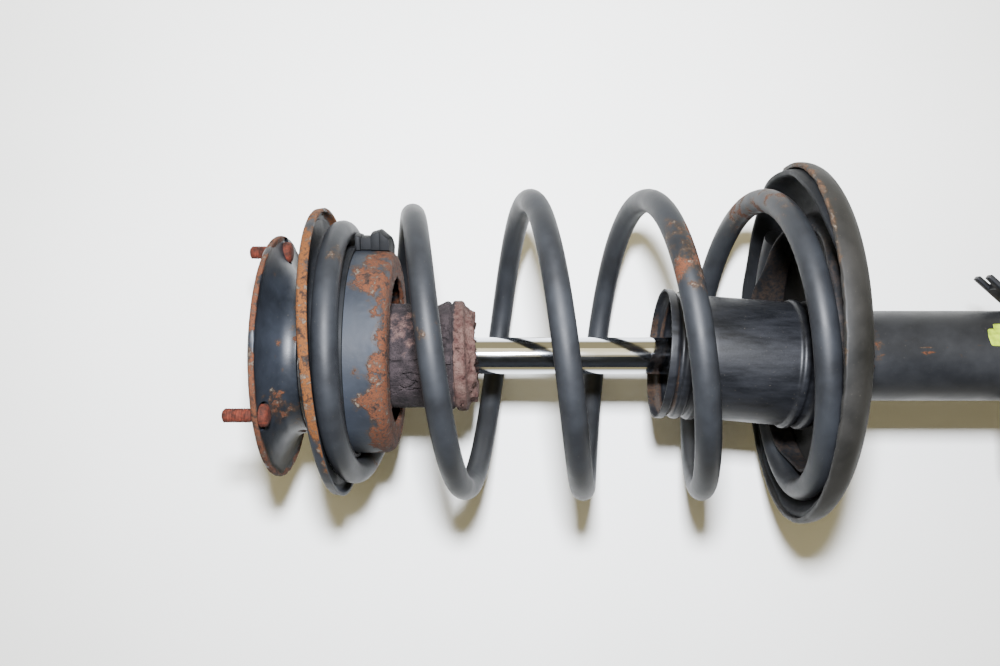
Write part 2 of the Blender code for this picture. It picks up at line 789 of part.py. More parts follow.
def add_knuckle_bracket():
    """The folded bracket round the tube, its two ears and their bolt holes."""
    inner = TUBE_RADIUS + 0.5
    outer = inner + BRACKET_SHEET
    half = EAR_GAP / 2
    outline = [(half + BRACKET_SHEET, EAR_REACH)]
    start = math.asin((half + BRACKET_SHEET) / outer)
    for index in range(17):
        angle = start + (2.0 * math.pi - 2.0 * start) * index / 16
        outline.append((outer * math.sin(angle), outer * math.cos(angle)))
    outline += [(-half - BRACKET_SHEET, EAR_REACH), (-half, EAR_REACH)]
    start = math.asin(half / inner)
    for index in range(17):
        angle = -start - (2.0 * math.pi - 2.0 * start) * index / 16
        outline.append((inner * math.sin(angle), inner * math.cos(angle)))
    outline += [(half, EAR_REACH)]
    shape = (BRACKET_START, BRACKET_END, Matrix.Identity(4))
    bracket = extruded("knuckle_bracket", outline, *shape, BLACK_PAINT, DAMPER)
    across = Matrix.Rotation(math.pi / 2, 4, "Y")
    for index, station in enumerate(BOLT_STATIONS):
        place = along(0.0, BOLT_REACH, station) @ across
        hole = rod_cutter(f"bolt_hole_{index + 1}", BOLT_HOLE, 80.0, place, DAMPER, MID_STEPS)
        boolean(bracket, hole)
    for index, station in enumerate((BRACKET_START, BRACKET_END)):
        low = (-40.0, EAR_REACH - EAR_CORNER, station - EAR_CORNER)
        high = (40.0, EAR_REACH + EAR_CORNER, station + EAR_CORNER)
        corner = box_mesh(f"ear_corner_{index + 1}", low, high, math.pi / 4)
        boolean(bracket, as_cutter(f"ear_corner_{index + 1}", corner, DAMPER))


def add_hose_bracket():
    """The bent strip that holds the brake hose, welded to the tube on the world +Y side."""
    foot = TUBE_RADIUS + 0.5
    outline = [
        (474.0, foot),
        (474.0, foot + 3.0),
        (462.0, foot + 3.0),
        (441.3, foot + 21.2),
        (439.3, foot + 18.9),
        (460.6, foot),
    ]
    lying = Matrix(((0, 0, 1, 0), (0, 1, 0, 0), (1, 0, 0, 0), (0, 0, 0, 1)))
    strip = extruded("hose_bracket", outline, -9.0, 9.0, lying, BLACK_PAINT, DAMPER)
    slot = box_mesh("hose_slot", (-4.0, foot + 10.0, 430.0), (4.0, foot + 24.0, 447.0))
    boolean(strip, as_cutter("hose_slot", slot, DAMPER))


def add_link_bracket():
    """The tab for the anti-roll bar link, on the world -Y side."""
    foot = -TUBE_RADIUS - 0.5
    centre = (467.5, foot - 22.0)
    outline = [(454.0, foot), (481.0, foot)]
    for index in range(9):
        angle = math.radians(-20.0 - 140.0 * index / 8)
        outline.append((centre[0] + 12.0 * math.cos(angle), centre[1] + 12.0 * math.sin(angle)))
    lying = Matrix(((0, 0, 1, 0), (0, 1, 0, 0), (1, 0, 0, 0), (0, 0, 0, 1)))
    tab = extruded("link_bracket", outline, -2.5, 2.5, lying, BLACK_PAINT, DAMPER)
    across = Matrix.Rotation(math.pi / 2, 4, "Y")
    place = along(0.0, centre[1], centre[0]) @ across
    boolean(tab, rod_cutter("link_hole", 6.1, 20.0, place, DAMPER))


def main():
    add_mount_plate()
    add_studs()
    add_mount_centre()
    add_bearing()
    add_upper_seat()
    add_upper_pad()
    add_coil_spring()
    add_rod()
    add_bump_stop()
    add_piston()
    add_damper_tube()
    add_damper_inside()
    add_lower_seat()
    add_lower_pad()
    add_dust_tube()
    add_knuckle_bracket()
    add_hose_bracket()
    add_link_bracket()


main()
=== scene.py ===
"""Looks of a used front strut assembly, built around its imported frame.

Stations are millimetres along the rod axis from the tips of the top mount's studs, radii are
millimetres from that axis, and angles are radians from world +Y toward world +Z.
"""
import json
import logging
import math
from dataclasses import dataclass
from enum import Enum
from typing import Callable, NamedTuple, Sequence

import bmesh
import bpy
import numpy as np
from mathutils import Matrix, Vector, noise


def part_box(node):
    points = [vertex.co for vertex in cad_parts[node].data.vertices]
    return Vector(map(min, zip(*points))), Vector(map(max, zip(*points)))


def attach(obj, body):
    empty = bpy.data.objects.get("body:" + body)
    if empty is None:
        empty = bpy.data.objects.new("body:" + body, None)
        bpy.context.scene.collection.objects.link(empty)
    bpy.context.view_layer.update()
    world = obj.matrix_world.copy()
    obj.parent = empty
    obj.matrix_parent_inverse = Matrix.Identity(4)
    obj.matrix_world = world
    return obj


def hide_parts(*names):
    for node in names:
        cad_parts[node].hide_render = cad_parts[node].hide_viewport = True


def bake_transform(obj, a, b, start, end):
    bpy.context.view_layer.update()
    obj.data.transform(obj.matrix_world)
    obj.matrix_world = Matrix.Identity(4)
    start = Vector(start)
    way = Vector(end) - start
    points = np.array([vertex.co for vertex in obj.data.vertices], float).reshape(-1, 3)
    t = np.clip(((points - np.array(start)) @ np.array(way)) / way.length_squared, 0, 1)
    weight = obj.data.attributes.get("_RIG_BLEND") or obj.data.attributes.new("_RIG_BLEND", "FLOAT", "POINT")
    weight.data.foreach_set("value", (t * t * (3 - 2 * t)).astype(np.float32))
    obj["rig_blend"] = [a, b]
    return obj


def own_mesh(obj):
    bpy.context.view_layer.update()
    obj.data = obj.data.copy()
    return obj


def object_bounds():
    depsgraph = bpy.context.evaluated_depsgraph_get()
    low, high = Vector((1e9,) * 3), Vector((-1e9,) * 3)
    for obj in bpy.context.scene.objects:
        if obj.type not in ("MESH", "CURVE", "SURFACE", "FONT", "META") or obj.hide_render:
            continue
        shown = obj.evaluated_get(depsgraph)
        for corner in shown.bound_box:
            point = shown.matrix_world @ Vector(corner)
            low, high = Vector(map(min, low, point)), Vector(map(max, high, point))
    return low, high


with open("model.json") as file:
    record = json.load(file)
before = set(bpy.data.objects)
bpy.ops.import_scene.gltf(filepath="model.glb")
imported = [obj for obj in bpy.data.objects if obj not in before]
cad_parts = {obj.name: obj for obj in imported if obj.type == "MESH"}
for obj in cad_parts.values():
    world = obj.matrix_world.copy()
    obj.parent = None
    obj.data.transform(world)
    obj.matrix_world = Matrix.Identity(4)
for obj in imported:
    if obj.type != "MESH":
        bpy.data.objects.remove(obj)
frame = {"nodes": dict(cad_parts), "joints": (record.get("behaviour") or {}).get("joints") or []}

LOG = logging.getLogger("strut")
MM = 0.001
CAD_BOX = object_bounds()
WEAR = "wear"

Outline = list[tuple[float, float]]
Corners = Sequence[tuple[float, ...]]
Piece = bpy.types.Object
Tree = bpy.types.NodeTree
Sockets = bpy.types.bpy_prop_collection


# --------------------------------------------------------------------------- places


class Body(Enum):
    """The bodies that the visible pieces move with."""

    TOP_MOUNT = "top_mount"
    UPPER_SEAT = "upper_seat"
    DAMPER = "damper_body"


@dataclass(frozen=True)
class RodAxis:
    """The line that everything is turned about."""

    start: float
    y: float
    z: float

    def place(self, station: float, radius: float, angle: float, shift: float = 0.0) -> Vector:
        """Gives a point of the shared frame in metres.

        Args:
            station: Distance along the strut in mm.
            radius: Distance from the axis in mm.
            angle: Angle from world +Y toward world +Z.
            shift: Sideways move toward world +Y in mm.

        Returns:
            The point in metres.
        """
        y = self.y + (radius * math.cos(angle) + shift) * MM
        z = self.z + radius * math.sin(angle) * MM
        return Vector((self.start + station * MM, y, z))

    def read(self, point: Vector) -> tuple[float, float, float]:
        """Gives a point's station, radius and angle.

        Args:
            point: A point of the shared frame in metres.

        Returns:
            Station in mm, radius in mm and angle.
        """
        y = (point.y - self.y) / MM
        z = (point.z - self.z) / MM
        return (point.x - self.start) / MM, math.hypot(y, z), math.atan2(z, y)

    def matrix(self) -> Matrix:
        """Gives the placing that turns local +Z along the strut, from station zero."""
        return Matrix.Translation((self.start, self.y, self.z)) @ Matrix.Rotation(math.pi / 2, 4, "Y")


def rod_axis() -> RodAxis:
    """Reads the rod axis from the steering joint and the start from the object's box."""
    joints = {joint["name"]: joint for joint in frame["joints"]}
    place = joints["steering"]["pos_m"]
    return RodAxis(CAD_BOX[0][0], place[1], place[2])


AXIS = rod_axis()


class Span(NamedTuple):
    """Where a CAD node lies along the strut, in mm."""

    start: float
    end: float
    radius: float


def span(node: str) -> Span:
    """Gives a node's first and last station and its radius across world Y.

    Args:
        node: The CAD node's name.

    Returns:
        The node's span in mm.
    """
    low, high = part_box(node)
    start = (low.x - AXIS.start) / MM
    end = (high.x - AXIS.start) / MM
    return Span(start, end, (high.y - low.y) / 2 / MM)


def smooth(value: float, start: float, end: float) -> float:
    """Gives a smooth step from 0 at start to 1 at end."""
    share = min(max((value - start) / (end - start), 0.0), 1.0)
    return share * share * (3.0 - 2.0 * share)


def ramp(value: float, start: float, end: float) -> float:
    """Gives a straight ramp from 0 at start to 1 at end."""
    return min(max((value - start) / (end - start), 0.0), 1.0)


def spot(station: float, angle: float, centre: tuple[float, float], size: tuple[float, float]) -> float:
    """Gives a soft patch on a turned surface.

    Args:
        station: Where the point is along the strut in mm.
        angle: The point's angle.
        centre: The patch's station in mm and angle.
        size: The patch's half-widths, in mm and radians.

    Returns:
        1 at the patch's middle, falling to 0 round it.
    """
    turn = math.remainder(angle - centre[1], 2.0 * math.pi) / size[1]
    along = (station - centre[0]) / size[0]
    return math.exp(-(turn * turn + along * along))


def grain(point: Vector, size_mm: float, octaves: int = 4, seed: float = 0.0) -> float:
    """Gives fractal noise of about -1 to 1 whose largest lumps are size_mm across."""
    moved = point / (size_mm * MM) + Vector((seed, seed * 0.7, -seed))
    return noise.fractal(moved, 0.9, 2.1, octaves)


# --------------------------------------------------------------------------- finishes


def srgb(code: str) -> tuple[float, float, float, float]:
    """Turns an sRGB hex colour, such as #1D2025, into linear RGBA."""
    channels = []
    for place in (1, 3, 5):
        value = int(code[place : place + 2], 16) / 255.0
        channels.append(value / 12.92 if value <= 0.04045 else ((value + 0.055) / 1.055) ** 2.4)
    return (*channels, 1.0)


def add_node(
    tree: Tree, kind: str, inputs: dict | None = None, out: int | str = 0, **settings: object
) -> bpy.types.NodeSocket | None:
    """Adds a node, sets it up and links it.

    Args:
        tree: The tree that gets the node.
        kind: The node's type name.
        inputs: Sockets by name or number, each with a value or an output socket to link.
        out: Which output to give.
        settings: Properties of the node.

    Returns:
        The output socket, or None where the node has none.
    """
    node = tree.nodes.new(kind)
    for key, value in settings.items():
        setattr(node, key, value)
    for key, value in (inputs or {}).items():
        if isinstance(value, bpy.types.NodeSocket):
            tree.links.new(value, node.inputs[key])
        else:
            node.inputs[key].default_value = value
    return node.outputs[out] if len(node.outputs) else None


def per_metre(size_mm: float) -> float:
    """Gives the texture scale at which a pattern repeats about every size_mm."""
    return 1.0 / (size_mm * MM)


def colour_ramp(node: bpy.types.Node, stops: Sequence[tuple[float, str]]) -> None:
    """Sets a colour ramp's stops from positions with sRGB hex colours, at least two."""
    elements = node.color_ramp.elements
    while len(elements) < len(stops):
        elements.new(0.5)
    for element, (position, code) in zip(elements, stops):
        element.position = position
        element.color = srgb(code)


# What a row of a finish can add: the node, the sockets its values go to, its output and its settings.
KINDS: dict[str, tuple[str, tuple, int | str, dict[str, str]]] = {
    "noise": ("ShaderNodeTexNoise", ("Vector", "Scale", "Detail", "Roughness"), "Fac", {}),
    "cells": ("ShaderNodeTexVoronoi", ("Vector", "Scale"), "Distance", {}),
    "rings": ("ShaderNodeTexWave", ("Vector", "Scale", "Distortion", "Detail"), "Fac", {"bands_direction": "X"}),
    "stretch": ("ShaderNodeMapping", ("Vector", "Scale"), 0, {}),
    "range": ("ShaderNodeMapRange", ("Value", "From Min", "From Max", "To Min", "To Max"), 0, {}),
    "ramp": ("ShaderNodeValToRGB", ("Fac",), "Color", {}),
    "mix": ("ShaderNodeMix", (0, 6, 7), 2, {"data_type": "RGBA"}),
    "darken": ("ShaderNodeMix", (0, 6, 7), 2, {"data_type": "RGBA", "blend_type": "MULTIPLY"}),
    "blend": ("ShaderNodeMix", (0, 2, 3), 0, {"data_type": "FLOAT"}),
    "bump": ("ShaderNodeBump", ("Height", "Strength", "Distance"), 0, {}),
    "add": ("ShaderNodeMath", (0, 1), 0, {"operation": "ADD"}),
    "subtract": ("ShaderNodeMath", (0, 1), 0, {"operation": "SUBTRACT"}),
    "multiply": ("ShaderNodeMath", (0, 1), 0, {"operation": "MULTIPLY"}),
    "multiply_add": ("ShaderNodeMath", (0, 1, 2), 0, {"operation": "MULTIPLY_ADD"}),
}

Row = tuple[object, ...]


@dataclass(frozen=True)
class Finish:
    """What every finish has: a name, its shine and the rows that make its shader."""

    name: str
    shine: float = 0.2

    def rows(self) -> list[Row]:
        """Gives the finish's nodes in order; each finish has its own.

        Returns:
            Rows of a label, a kind and the kind's values. A value is a number, a hex colour or the
            label of an earlier row. A label that is one of the shader's sockets feeds it.
        """
        raise NotImplementedError

    def material(self) -> bpy.types.Material:
        """Gives the material, made on its first use."""
        made = bpy.data.materials.get(self.name)
        if made is None:
            made = bpy.data.materials.new(self.name)
            made.use_nodes = True
            made.node_tree.nodes.clear()
            self.dress(made.node_tree)
        return made

    def dress(self, tree: Tree) -> None:
        """Adds the nodes of every row, then the shader that they feed."""
        known = {
            "place": add_node(tree, "ShaderNodeTexCoord", out="Object"),
            "wear": add_node(tree, "ShaderNodeAttribute", out="Fac", attribute_name=WEAR),
            "Specular IOR Level": self.shine,
        }
        for label, kind, *values in self.rows():
            fed = [known.get(value, value) if isinstance(value, str) else value for value in values]
            fed = [srgb(value) if isinstance(value, str) else value for value in fed]
            if kind == "constant":
                known[label] = fed[0]
                continue
            node, sockets, out, settings = KINDS[kind]
            known[label] = add_node(tree, node, dict(zip(sockets, fed)), out, **settings)
            if kind == "ramp":
                colour_ramp(known[label].node, values[1])
        inputs = {label: value for label, value in known.items() if label[0].isupper()}
        shader = add_node(tree, "ShaderNodeBsdfPrincipled", inputs)
        add_node(tree, "ShaderNodeOutputMaterial", {"Surface": shader}, is_active_output=True)


@dataclass(frozen=True)
class RustedPaint(Finish):
    """Dipped black-grey chassis paint that rust has lifted: satin where whole, matt and rough
    where the brown shows, with a thin orange stain round each patch."""

    paint_light: str = "#1D2025"
    paint_dark: str = "#111316"
    rust_bright: str = "#4C2916"
    rust_mid: str = "#2C1D15"
    rust_dark: str = "#120C0A"
    scale: str = "#4A433A"
    stain: str = "#2E200F"
    threshold: float = 0.62
    patch_mm: float = 9.0
    gloss: float = 0.58
    dust: float = 0.35
    bump_mm: float = 0.35

    def rows(self) -> list[Row]:
        """Mixes paint and rust by the wear attribute broken up with noise."""
        edge, gloss = self.threshold, self.gloss
        mottle = ((0.36, self.rust_dark), (0.44, self.rust_mid), (0.5, self.rust_bright))
        mottle += ((0.57, self.rust_mid), (0.64, self.scale))
        return [
            ("patches", "noise", "place", per_metre(self.patch_mm), 7.0, 0.66),
            ("fine", "noise", "place", per_metre(1.6), 5.0, 0.7),
            ("cloud", "noise", "place", per_metre(28.0), 4.0, 0.6),
            ("specks", "noise", "place", per_metre(1.1), 2.0, 0.5),
            ("grit", "noise", "place", per_metre(4.5), 8.0, 0.72),
            ("worn", "multiply_add", "patches", 1.5, "wear"),
            ("broken", "multiply_add", "fine", 0.35, "worn"),
            ("level", "subtract", "broken", 0.925),
            ("rusted", "range", "level", edge - 0.03, edge + 0.05),
            ("halo", "range", "level", edge - 0.16, edge, 0.0, 0.55),
            ("clouded", "range", "cloud", 0.36, 0.64),
            ("paint", "mix", "clouded", self.paint_dark, self.paint_light),
            ("dust", "range", "specks", 0.7, 0.78, 0.0, self.dust),
            ("dusty", "mix", "dust", "paint", "#4A463F"),
            ("stained", "mix", "halo", "dusty", self.stain),
            ("rust", "ramp", "grit", mottle),
            ("Base Color", "mix", "rusted", "stained", "rust"),
            ("sheen", "range", "cloud", 0.3, 0.7, gloss - 0.08, gloss + 0.12),
            ("Roughness", "blend", "rusted", "sheen", 0.9),
            ("scab", "multiply", "grit", "rusted"),
            ("skin", "multiply_add", "fine", 0.12, "scab"),
            ("Normal", "bump", "skin", 0.9, self.bump_mm * MM),
        ]


@dataclass(frozen=True)
class RustedSteel(Finish):
    """Plain steel left bare: an even red-brown scale, matt and gritty all over."""

    bright: str = "#542215"
    mid: str = "#35170E"
    dark: str = "#170C08"

    def rows(self) -> list[Row]:
        """Mottles the scale in lumps of about 3 mm and roughens it."""
        return [
            ("scale", "noise", "place", per_metre(3.0), 8.0, 0.7),
            ("Base Color", "ramp", "scale", ((0.33, self.dark), (0.48, self.mid), (0.66, self.bright))),
            ("Roughness", "constant", 0.88),
            ("Normal", "bump", "scale", 0.8, 0.4 * MM),
        ]


@dataclass(frozen=True)
class HardChrome(Finish):
    """Ground and polished hard chrome: a mirror with the faintest lengthwise haze."""

    def rows(self) -> list[Row]:
        """Lets the roughness drift a little, as on a wiped rod."""
        return [
            ("Base Color", "constant", "#C9CCD2"),
            ("Metallic", "constant", 1.0),
            ("along", "stretch", "place", (0.15, 1.0, 1.0)),
            ("haze", "noise", "along", per_metre(3.0), 4.0),
            ("Roughness", "range", "haze", 0.35, 0.75, 0.06, 0.14),
        ]


@dataclass(frozen=True)
class MachinedSteel(Finish):
    """Turned steel: grey metal with fine rings from the tool and a film of old oil."""

    tint: str = "#5A5957"
    metal: float = 0.9
    rough: float = 0.42

    def rows(self) -> list[Row]:
        """Draws the tool's rings 0.8 mm apart, coarser than real ones so that they show."""
        return [
            ("rings", "rings", "place", per_metre(0.8) / 6.28, 0.6, 2.0),
            ("film", "noise", "place", per_metre(9.0), 5.0, 0.65),
            ("Base Color", "ramp", "film", ((0.35, "#4A3F36"), (0.5, self.tint), (0.7, self.tint))),
            ("Metallic", "constant", self.metal),
            ("Roughness", "constant", self.rough),
            ("Normal", "bump", "rings", 0.15, 0.1 * MM),
        ]


@dataclass(frozen=True)
class MouldedRubber(Finish):
    """Moulded carbon-black rubber: dull, with a grey bloom and road dust in its hollows."""

    light: str = "#121315"
    dark: str = "#0A0B0C"
    soil: str = "#2A211A"

    def rows(self) -> list[Row]:
        """Clouds the rubber with bloom and adds dirt where the wear attribute says."""
        return [
            ("bloom", "noise", "place", per_metre(16.0), 6.0, 0.62),
            ("grit", "noise", "place", per_metre(2.2), 6.0, 0.7),
            ("clean", "ramp", "bloom", ((0.36, self.dark), (0.68, self.light))),
            ("level", "add", "grit", "wear"),
            ("soiled", "range", "level", 0.72, 1.05, 0.0, 0.85),
            ("Base Color", "mix", "soiled", "clean", self.soil),
            ("Roughness", "range", "bloom", 0.3, 0.7, 0.5, 0.75),
            ("Normal", "bump", "grit", 0.35, 0.15 * MM),
        ]


@dataclass(frozen=True)
class PerishedFoam(Finish):
    """Polyurethane foam past its life: grey-brown skin full of pores, and raw pinkish-brown
    foam where the skin has come away."""

    skin_light: str = "#2C2526"
    skin_dark: str = "#120E0F"
    raw_light: str = "#4E3C36"
    raw_dark: str = "#2B1613"

    def rows(self) -> list[Row]:
        """Shows raw foam by the wear attribute, pits the whole with 0.9 mm pores and darkens each pore's middle as
        painted shade.
        """
        return [
            ("cloud", "noise", "place", per_metre(6.0), 8.0, 0.7),
            ("pores", "cells", "place", per_metre(0.9)),
            ("skin", "ramp", "cloud", ((0.36, self.skin_dark), (0.66, self.skin_light))),
            ("raw", "ramp", "cloud", ((0.34, self.raw_dark), (0.64, self.raw_light))),
            ("level", "add", "cloud", "wear"),
            ("torn", "range", "level", 0.85, 1.05),
            ("colour", "mix", "torn", "skin", "raw"),
            # painted shade: darkens the colour toward each pore's middle, where the bump sinks the surface into a pit
            ("pit", "range", "pores", 0.1, 0.45, 0.45),
            ("Base Color", "darken", 1.0, "colour", "pit"),
            ("Roughness", "constant", 0.95),
            ("height", "add", "pores", "cloud"),
            ("Normal", "bump", "height", 0.8, 0.5 * MM),
        ]


@dataclass(frozen=True)
class MouldedPlastic(Finish):
    """Moulded black polypropylene: a soft sheen, rubbed streaks along it and pale dust."""

    light: str = "#17181B"
    dark: str = "#0B0C0E"
    soil: str = "#2B2018"

    def rows(self) -> list[Row]:
        """Streaks the plastic along the tube, and cakes brown dirt where the wear says."""
        return [
            ("along", "stretch", "place", (0.25, 1.0, 1.0)),
            ("streaks", "noise", "along", per_metre(5.0), 6.0, 0.65),
            ("specks", "noise", "place", per_metre(1.3), 3.0, 0.6),
            ("clean", "ramp", "streaks", ((0.35, self.dark), (0.7, self.light))),
            ("dust", "range", "specks", 0.68, 0.78, 0.0, 0.5),
            ("dusty", "mix", "dust", "clean", "#5C554A"),
            ("level", "add", "specks", "wear"),
            ("caked", "range", "level", 0.8, 1.1),
            ("Base Color", "mix", "caked", "dusty", self.soil),
            ("Roughness", "range", "streaks", 0.3, 0.7, 0.36, 0.52),
            ("Normal", "bump", "specks", 0.3, 0.12 * MM),
        ]


@dataclass(frozen=True)
class MarkerPaint(Finish):
    """A dab of yellow-green marking paint: flat, thick at its edge, a little cloudy."""

    def rows(self) -> list[Row]:
        """Clouds the dab's colour a little."""
        return [
            ("cloud", "noise", "place", per_metre(3.0), 5.0),
            ("Base Color", "ramp", "cloud", ((0.35, "#6F8216"), (0.65, "#93A81C"))),
            ("Roughness", "constant", 0.6),
        ]


@dataclass(frozen=True)
class StudioPaper(Finish):
    """Matt paper, for the floor and for the card beside it."""

    light: str = "#EEEEEB"
    dark: str = "#E9EAE6"

    def rows(self) -> list[Row]:
        """Keeps the paper almost even, with the faintest cloud."""
        return [
            ("cloud", "noise", "place", per_metre(180.0), 2.0),
            ("Base Color", "ramp", "cloud", ((0.3, self.dark), (0.7, self.light))),
            ("Roughness", "constant", 0.7),
        ]


PLATE_PAINT = RustedPaint("dipped_paint_on_top_plate", gloss=0.38)
SEAT_PAINT = RustedPaint("dipped_paint_on_spring_seat", rust_bright="#563112", rust_mid="#331F10")
HUB_PAINT = RustedPaint("dipped_paint_on_spring_cup", paint_light="#1F2329", paint_dark="#191C21", bump_mm=0.6)
SPRING_PAINT = RustedPaint("baked_paint_on_spring_wire", paint_light="#1C1E21", paint_dark="#141517", gloss=0.5)
PAN_PAINT = RustedPaint(
    "dipped_paint_on_spring_pan",
    paint_light="#1C1B19",
    paint_dark="#0F0F0E",
    rust_bright="#4A3524",
    rust_mid="#2E2219",
    dust=0.5,
)
TUBE_PAINT = RustedPaint(
    "satin_paint_on_damper", paint_light="#1F2022", paint_dark="#161719", gloss=0.45, patch_mm=6.0
)
BARE_RUST = RustedSteel("scaled_plain_steel")
CHROME = HardChrome("ground_hard_chrome", shine=0.5)
MACHINED = MachinedSteel("turned_steel")
BRONZE = MachinedSteel("sintered_bronze", tint="#8A6A3C", rough=0.5)
RUBBER = MouldedRubber("moulded_black_rubber", shine=0.1)
FOAM = PerishedFoam("perished_polyurethane_foam")
PLASTIC = MouldedPlastic("moulded_black_polypropylene")
MARKER = MarkerPaint("marking_paint")
PAPER = StudioPaper("white_paper")
CARD = StudioPaper("black_paper", light="#2A2D33", dark="#24272C")


# --------------------------------------------------------------------------- mesh making


class Corner(NamedTuple):
    """A corner of a turned outline, in mm, with the radius that rounds it."""

    station: float
    radius: float
    fillet: float = 0.0


def rounded(given: Corners, closed: bool, arc_steps: int) -> Outline:
    """Rounds an outline's corners.

    Args:
        given: The corners in order, each a station, a radius and the fillet that it may have.
        closed: Whether the last corner joins the first.
        arc_steps: How many steps each rounded corner gets.

    Returns:
        The outline's points.
    """
    corners = [Corner(*corner) for corner in given]
    points: Outline = []
    count = len(corners)
    for index, corner in enumerate(corners):
        ends = not closed and index in (0, count - 1)
        if corner.fillet <= 0.0 or ends:
            points.append((corner.station, corner.radius))
            continue
        here = Vector((corner.station, corner.radius))
        back = Vector(corners[index - 1][:2]) - here
        ahead = Vector(corners[(index + 1) % count][:2]) - here
        reach = min(corner.fillet, back.length * 0.48, ahead.length * 0.48)
        first = here + back.normalized() * reach
        last = here + ahead.normalized() * reach
        for step in range(arc_steps + 1):
            share = step / arc_steps
            point = first * (1 - share) ** 2 + here * (2 * share * (1 - share)) + last * share**2
            points.append((point.x, point.y))
    return points


def divided(points: Outline, longest: float, closed: bool) -> Outline:
    """Adds points so that no stretch of an outline is longer than a limit in mm."""
    result: Outline = []
    pairs = list(zip(points, points[1:] + points[:1]))
    if not closed:
        pairs.pop()
    for first, second in pairs:
        length = math.dist(first, second)
        parts = max(1, math.ceil(length / longest))
        for part in range(parts):
            share = part / parts
            station = first[0] + (second[0] - first[0]) * share
            result.append((station, first[1] + (second[1] - first[1]) * share))
    if not closed:
        result.append(points[-1])
    return result


class Form(NamedTuple):
    """Where a turned surface's point really lies."""

    station: float
    radius: float
    angle: float
    shift: float = 0.0


Shaper = Callable[[Form], Form]


def plain_form(form: Form) -> Form:
    """Leaves a turned surface as it is."""
    return form


def revolve(
    name: str,
    corners: Corners,
    segments: int,
    longest: float = math.inf,
    shaper: Shaper = plain_form,
    closed: bool = True,
    arc_steps: int = 5,
) -> Piece:
    """Makes a turned piece about the rod axis.

    Args:
        name: The piece's name.
        corners: The outline's corners; an open outline starts and ends on the axis.
        segments: How many steps there are round the axis.
        longest: The longest step along the outline in mm.
        shaper: Bends the turned form, point by point.
        closed: Whether the outline is a loop clear of the axis.
        arc_steps: How many steps each rounded corner gets.

    Returns:
        The new object, at the origin.
    """
    outline = divided(rounded(corners, closed, arc_steps), longest, closed)
    shape = bmesh.new()
    rings = []
    body = outline if closed else outline[1:-1]
    for station, radius in body:
        ring = []
        for step in range(segments):
            form = shaper(Form(station, radius, 2.0 * math.pi * step / segments))
            ring.append(shape.verts.new(AXIS.place(*form)))
        rings.append(ring)
    pairs = zip(rings, rings[1:] + rings[:1] if closed else rings[1:])
    for first, second in pairs:
        for step in range(segments):
            following = (step + 1) % segments
            shape.faces.new((first[step], first[following], second[following], second[step]))
    if not closed:
        for end, ring in ((outline[0], rings[0]), (outline[-1], rings[-1])):
            pole = shape.verts.new(AXIS.place(end[0], 0.0, 0.0))
            for step in range(segments):
                shape.faces.new((ring[step], ring[(step + 1) % segments], pole))
    return finished(name, shape)


def finished(name: str, shape: bmesh.types.BMesh) -> Piece:
    """Turns a bmesh into a smooth-shaded object at the origin, with outward faces."""
    bmesh.ops.recalc_face_normals(shape, faces=shape.faces)
    return placed(name, mesh_of(name, shape))


def linked(name: str, data: bpy.types.ID) -> Piece:
    """Puts data into the scene as an object at the origin."""
    item = bpy.data.objects.new(name, data)
    bpy.context.scene.collection.objects.link(item)
    return item


def mesh_of(name: str, shape: bmesh.types.BMesh) -> bpy.types.Mesh:
    """Turns a bmesh into a mesh and frees it."""
    mesh = bpy.data.meshes.new(name)
    shape.to_mesh(mesh)
    shape.free()
    return mesh


def evaluated(piece: Piece) -> bpy.types.Mesh:
    """Gives what a piece's modifiers make of it, as a plain mesh."""
    bpy.context.view_layer.update()
    graph = bpy.context.evaluated_depsgraph_get()
    return bpy.data.meshes.new_from_object(piece.evaluated_get(graph), depsgraph=graph)


def shade(mesh: bpy.types.Mesh, sharp: float = 40.0) -> None:
    """Shades a mesh smooth, but for edges sharper than so many degrees."""
    mesh.shade_smooth()
    mesh.set_sharp_from_angle(angle=math.radians(sharp))


def placed(name: str, mesh: bpy.types.Mesh, sharp: float = 40.0) -> Piece:
    """Links a mesh as a smooth-shaded object at the origin."""
    shade(mesh, sharp)
    return linked(name, mesh)


def solidified(piece: Piece) -> None:
    """Applies a piece's modifiers and drops them."""
    mesh = evaluated(piece)
    piece.modifiers.clear()
    piece.data = mesh


def cut(piece: Piece, cutters: Sequence[Piece]) -> None:
    """Cuts solids out of a piece and removes them."""
    for cutter in cutters:
        step = piece.modifiers.new(cutter.name, "BOOLEAN")
        step.operation = "DIFFERENCE"
        step.solver = "EXACT"
        step.object = cutter
    solidified(piece)
    for cutter in cutters:
        bpy.data.objects.remove(cutter)


def cylinder(name: str, radius: float, low: Vector, high: Vector) -> Piece:
    """Makes a plain cylinder between two points, to cut a round hole with."""
    shape = bmesh.new()
    line = high - low
    place = Matrix.Translation((low + high) / 2) @ line.to_track_quat("Z", "Y").to_matrix().to_4x4()
    sizes = {"segments": 48, "radius1": radius * MM, "radius2": radius * MM, "depth": line.length}
    bmesh.ops.create_cone(shape, cap_ends=True, matrix=place, **sizes)
    return finished(name, shape)


def block(name: str, middle: Vector, size: Vector, turn: float = 0.0) -> Piece:
    """Makes a plain box of a size in metres, turned about its own upright, to cut with."""
    shape = bmesh.new()
    place = Matrix.Translation(middle) @ Matrix.Rotation(turn, 4, "Z") @ Matrix.Diagonal((*size, 1.0))
    bmesh.ops.create_cube(shape, size=1.0, matrix=place)
    return finished(name, shape)


def extrude(name: str, outline: Sequence[Vector], push: Vector) -> Piece:
    """Pushes a flat outline into a solid.

    Args:
        name: The piece's name.
        outline: The outline's points in the shared frame.
        push: How far and which way it is pushed.

    Returns:
        The new object.
    """
    shape = bmesh.new()
    face = shape.faces.new([shape.verts.new(point) for point in outline])
    grown = bmesh.ops.extrude_face_region(shape, geom=[face])
    moved = [item for item in grown["geom"] if isinstance(item, bmesh.types.BMVert)]
    bmesh.ops.translate(shape, verts=moved, vec=push)
    return finished(name, shape)


